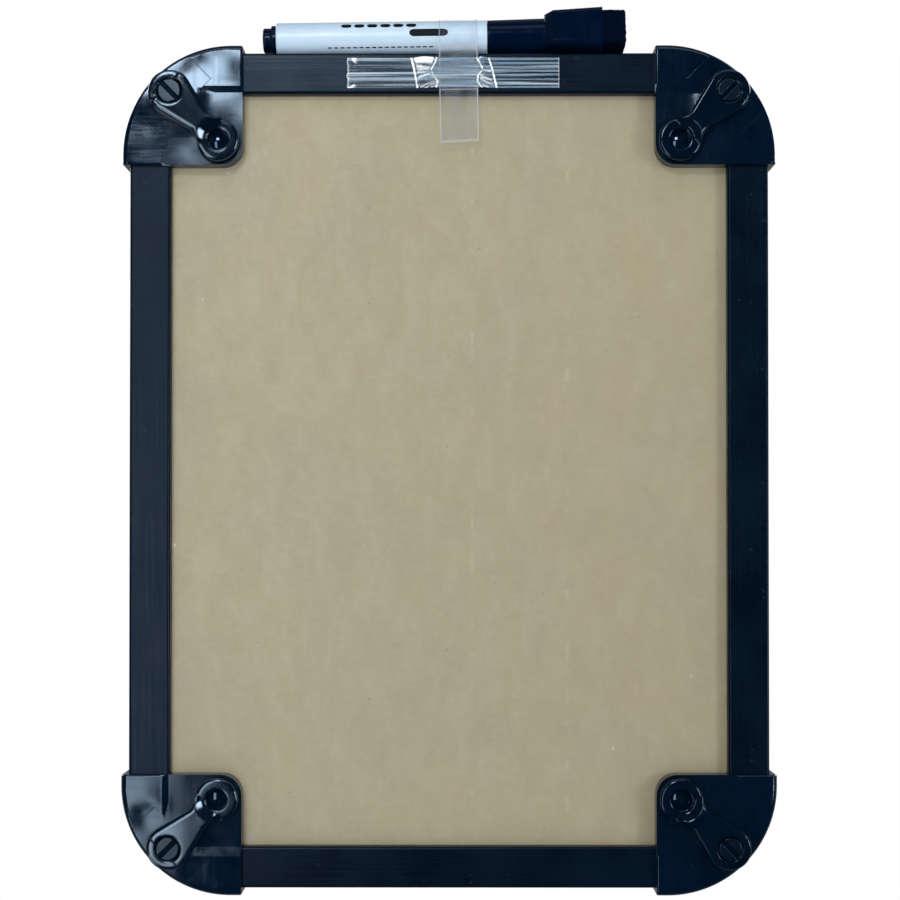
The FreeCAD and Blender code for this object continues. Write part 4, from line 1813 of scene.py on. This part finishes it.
@dataclass
class Studio:
    """Pale floor, white surroundings, soft lamps and the camera."""

    floor_drop: float = 60.0 * MM
    floor_size: float = 8.0
    floor_white: Colour = (0.9, 0.9, 0.9)
    floor_roughness: float = 0.9
    floor_shine: float = 0.1
    sky: Colour = (0.93, 0.97, 1.0)
    ambient: float = 0.21
    gloss_dim: float = 0.93
    beyond: Ramp = (-0.25, 0.15, 0.0, 0.25)
    camera_place: Triple = (2.1 * MM, -520.0 * MM, -19.5 * MM)
    camera_pitch: float = 0.637
    camera_yaw: float = 0.19
    focal: float = 63.8
    sensor: float = 36.0
    lens_shift: float = 0.0674
    clip: Pair = (0.01, 20.0)

    def softboxes(self) -> list[Softbox]:
        """Lamps: a key, two tall strips and a low box behind the board, one overhead and two in front."""
        return [
            Softbox("key", (-0.15, -0.88, 0.45), 1.5, 0.3, 0.3, 6.4),
            Softbox("left_tall", (-0.32, -0.95, -0.05), 1.5, 0.3, 0.86, 5.0),
            Softbox("right_tall", (0.74, -0.67, -0.02), 1.5, 0.3, 0.6, 8.0),
            Softbox("left_low", (-0.6, -0.6, -0.55), 1.5, 0.45, 0.45, 3.2),
            Softbox("overhead", (0.0, -0.55, 0.85), 1.7, 1.4, 0.6, 5.0),
            Softbox("front_left", (-0.7, 0.65, 0.35), 2.0, 0.9, 0.9, 18.0),
            Softbox("front_right", (0.75, 0.6, 0.5), 2.0, 0.9, 0.9, 18.0),
        ]

    def surroundings(self) -> None:
        """Sets a world that is white to the eye, partly so in mirrored light and dim in all other light."""
        world = bpy.data.worlds.new("studio")
        bpy.context.scene.world = world
        world.use_nodes = True
        graph = NodeGraph(world.node_tree)
        path = graph.add("LightPath").outputs
        dim = graph.nodes["Background"]
        graph.feed(dim, "Color", self.sky)
        fall = (0.0, 1.0, self.ambient, self.ambient * (1.0 - self.gloss_dim))
        graph.feed(dim, "Strength", graph.remap(path["Is Glossy Ray"], fall))
        white = graph.add("Background", Color=WHITE)
        way = graph.add("SeparateXYZ", Vector=graph.add("TexCoord").outputs["Generated"])
        seen = graph.times(path["Is Glossy Ray"], graph.remap(way.outputs["Y"], self.beyond))
        for ray in ("Is Camera Ray", "Is Transmission Ray"):
            seen = graph.calc("MAXIMUM", seen, path[ray])
        sky = graph.mix_shaders(seen, dim.outputs[0], white.outputs[0])
        graph.feed(graph.nodes["World Output"], "Surface", sky)

    def floor_finish(self) -> bpy.types.Material:
        """Makes the floor's finish, which is white to the eye and clear from below and to glossy rays.

        Returns:
            The material.
        """
        graph = ShaderGraph("studio_floor")
        graph.finish(
            Base_Color=self.floor_white, Roughness=self.floor_roughness, Specular_IOR_Level=self.floor_shine
        )
        path = graph.add("LightPath").outputs
        seen = graph.calc("MAXIMUM", path["Is Camera Ray"], path["Is Transmission Ray"])
        glow = graph.add("Emission", Color=WHITE)
        lit = graph.mix_shaders(seen, graph.shader.outputs[0], glow.outputs[0])
        below = graph.add("NewGeometry").outputs["Backfacing"]
        hidden = graph.calc("MAXIMUM", below, path["Is Glossy Ray"])
        surface = graph.mix_shaders(hidden, lit, graph.add("BsdfTransparent").outputs[0])
        graph.feed(graph.nodes["Material Output"], "Surface", surface)
        return graph.material

    def floor(self) -> None:
        """Lays the floor under the object."""
        mesh = bmesh.new()
        bmesh.ops.create_grid(mesh, x_segments=1, y_segments=1, size=self.floor_size / 2.0)
        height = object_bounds()[0].z - self.floor_drop
        bmesh.ops.translate(mesh, verts=mesh.verts, vec=(0.0, 0.0, height))
        floor = new_piece("studio_floor", mesh, self.floor_finish())
        floor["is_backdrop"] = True

    def camera(self) -> None:
        """Sets the camera square to the back of the board, a little below its middle."""
        data = bpy.data.cameras.new("camera")
        data.lens, data.sensor_width = self.focal, self.sensor
        data.shift_y = self.lens_shift
        data.clip_start, data.clip_end = self.clip
        camera = bpy.data.objects.new("camera", data)
        camera.location = self.camera_place
        camera.rotation_euler = (math.radians(90.0 + self.camera_pitch), 0.0, math.radians(self.camera_yaw))
        bpy.context.scene.collection.objects.link(camera)
        bpy.context.scene.camera = camera

    def build(self) -> None:
        """Sets the whole studio."""
        bpy.context.scene.view_settings.view_transform = "Standard"
        self.surroundings()
        self.floor()
        for softbox in self.softboxes():
            softbox.place(Vector((0.0, 0.0, 0.0)))
        self.camera()


def main() -> None:
    """Loads the frame, dresses it and sets the studio."""
    logging.basicConfig(level=logging.INFO, format="%(name)s: %(message)s")
    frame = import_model()
    nodes = frame["nodes"]
    slide = next(joint for joint in frame["joints"] if joint["name"] == "marker_slide")
    hole = next(mount for mount in frame["record"]["mounts"] if mount["name"] == "hanger_hole_top_right")
    BoardFrame(nodes, Vector(hole["pos_m"])).dress()
    Panel(nodes).dress()
    marker = Marker(nodes, Vector(slide["axis"]).normalized())
    marker.dress()
    made = [marker.printed_bars(), marker.felt_eraser(), MarkerStrap(marker).build(), StrapTape().build()]
    for piece in made:
        log.info("%s: %d faces", piece.name, len(piece.data.polygons))
    Studio().build()


if __name__ == "__main__":
    main()
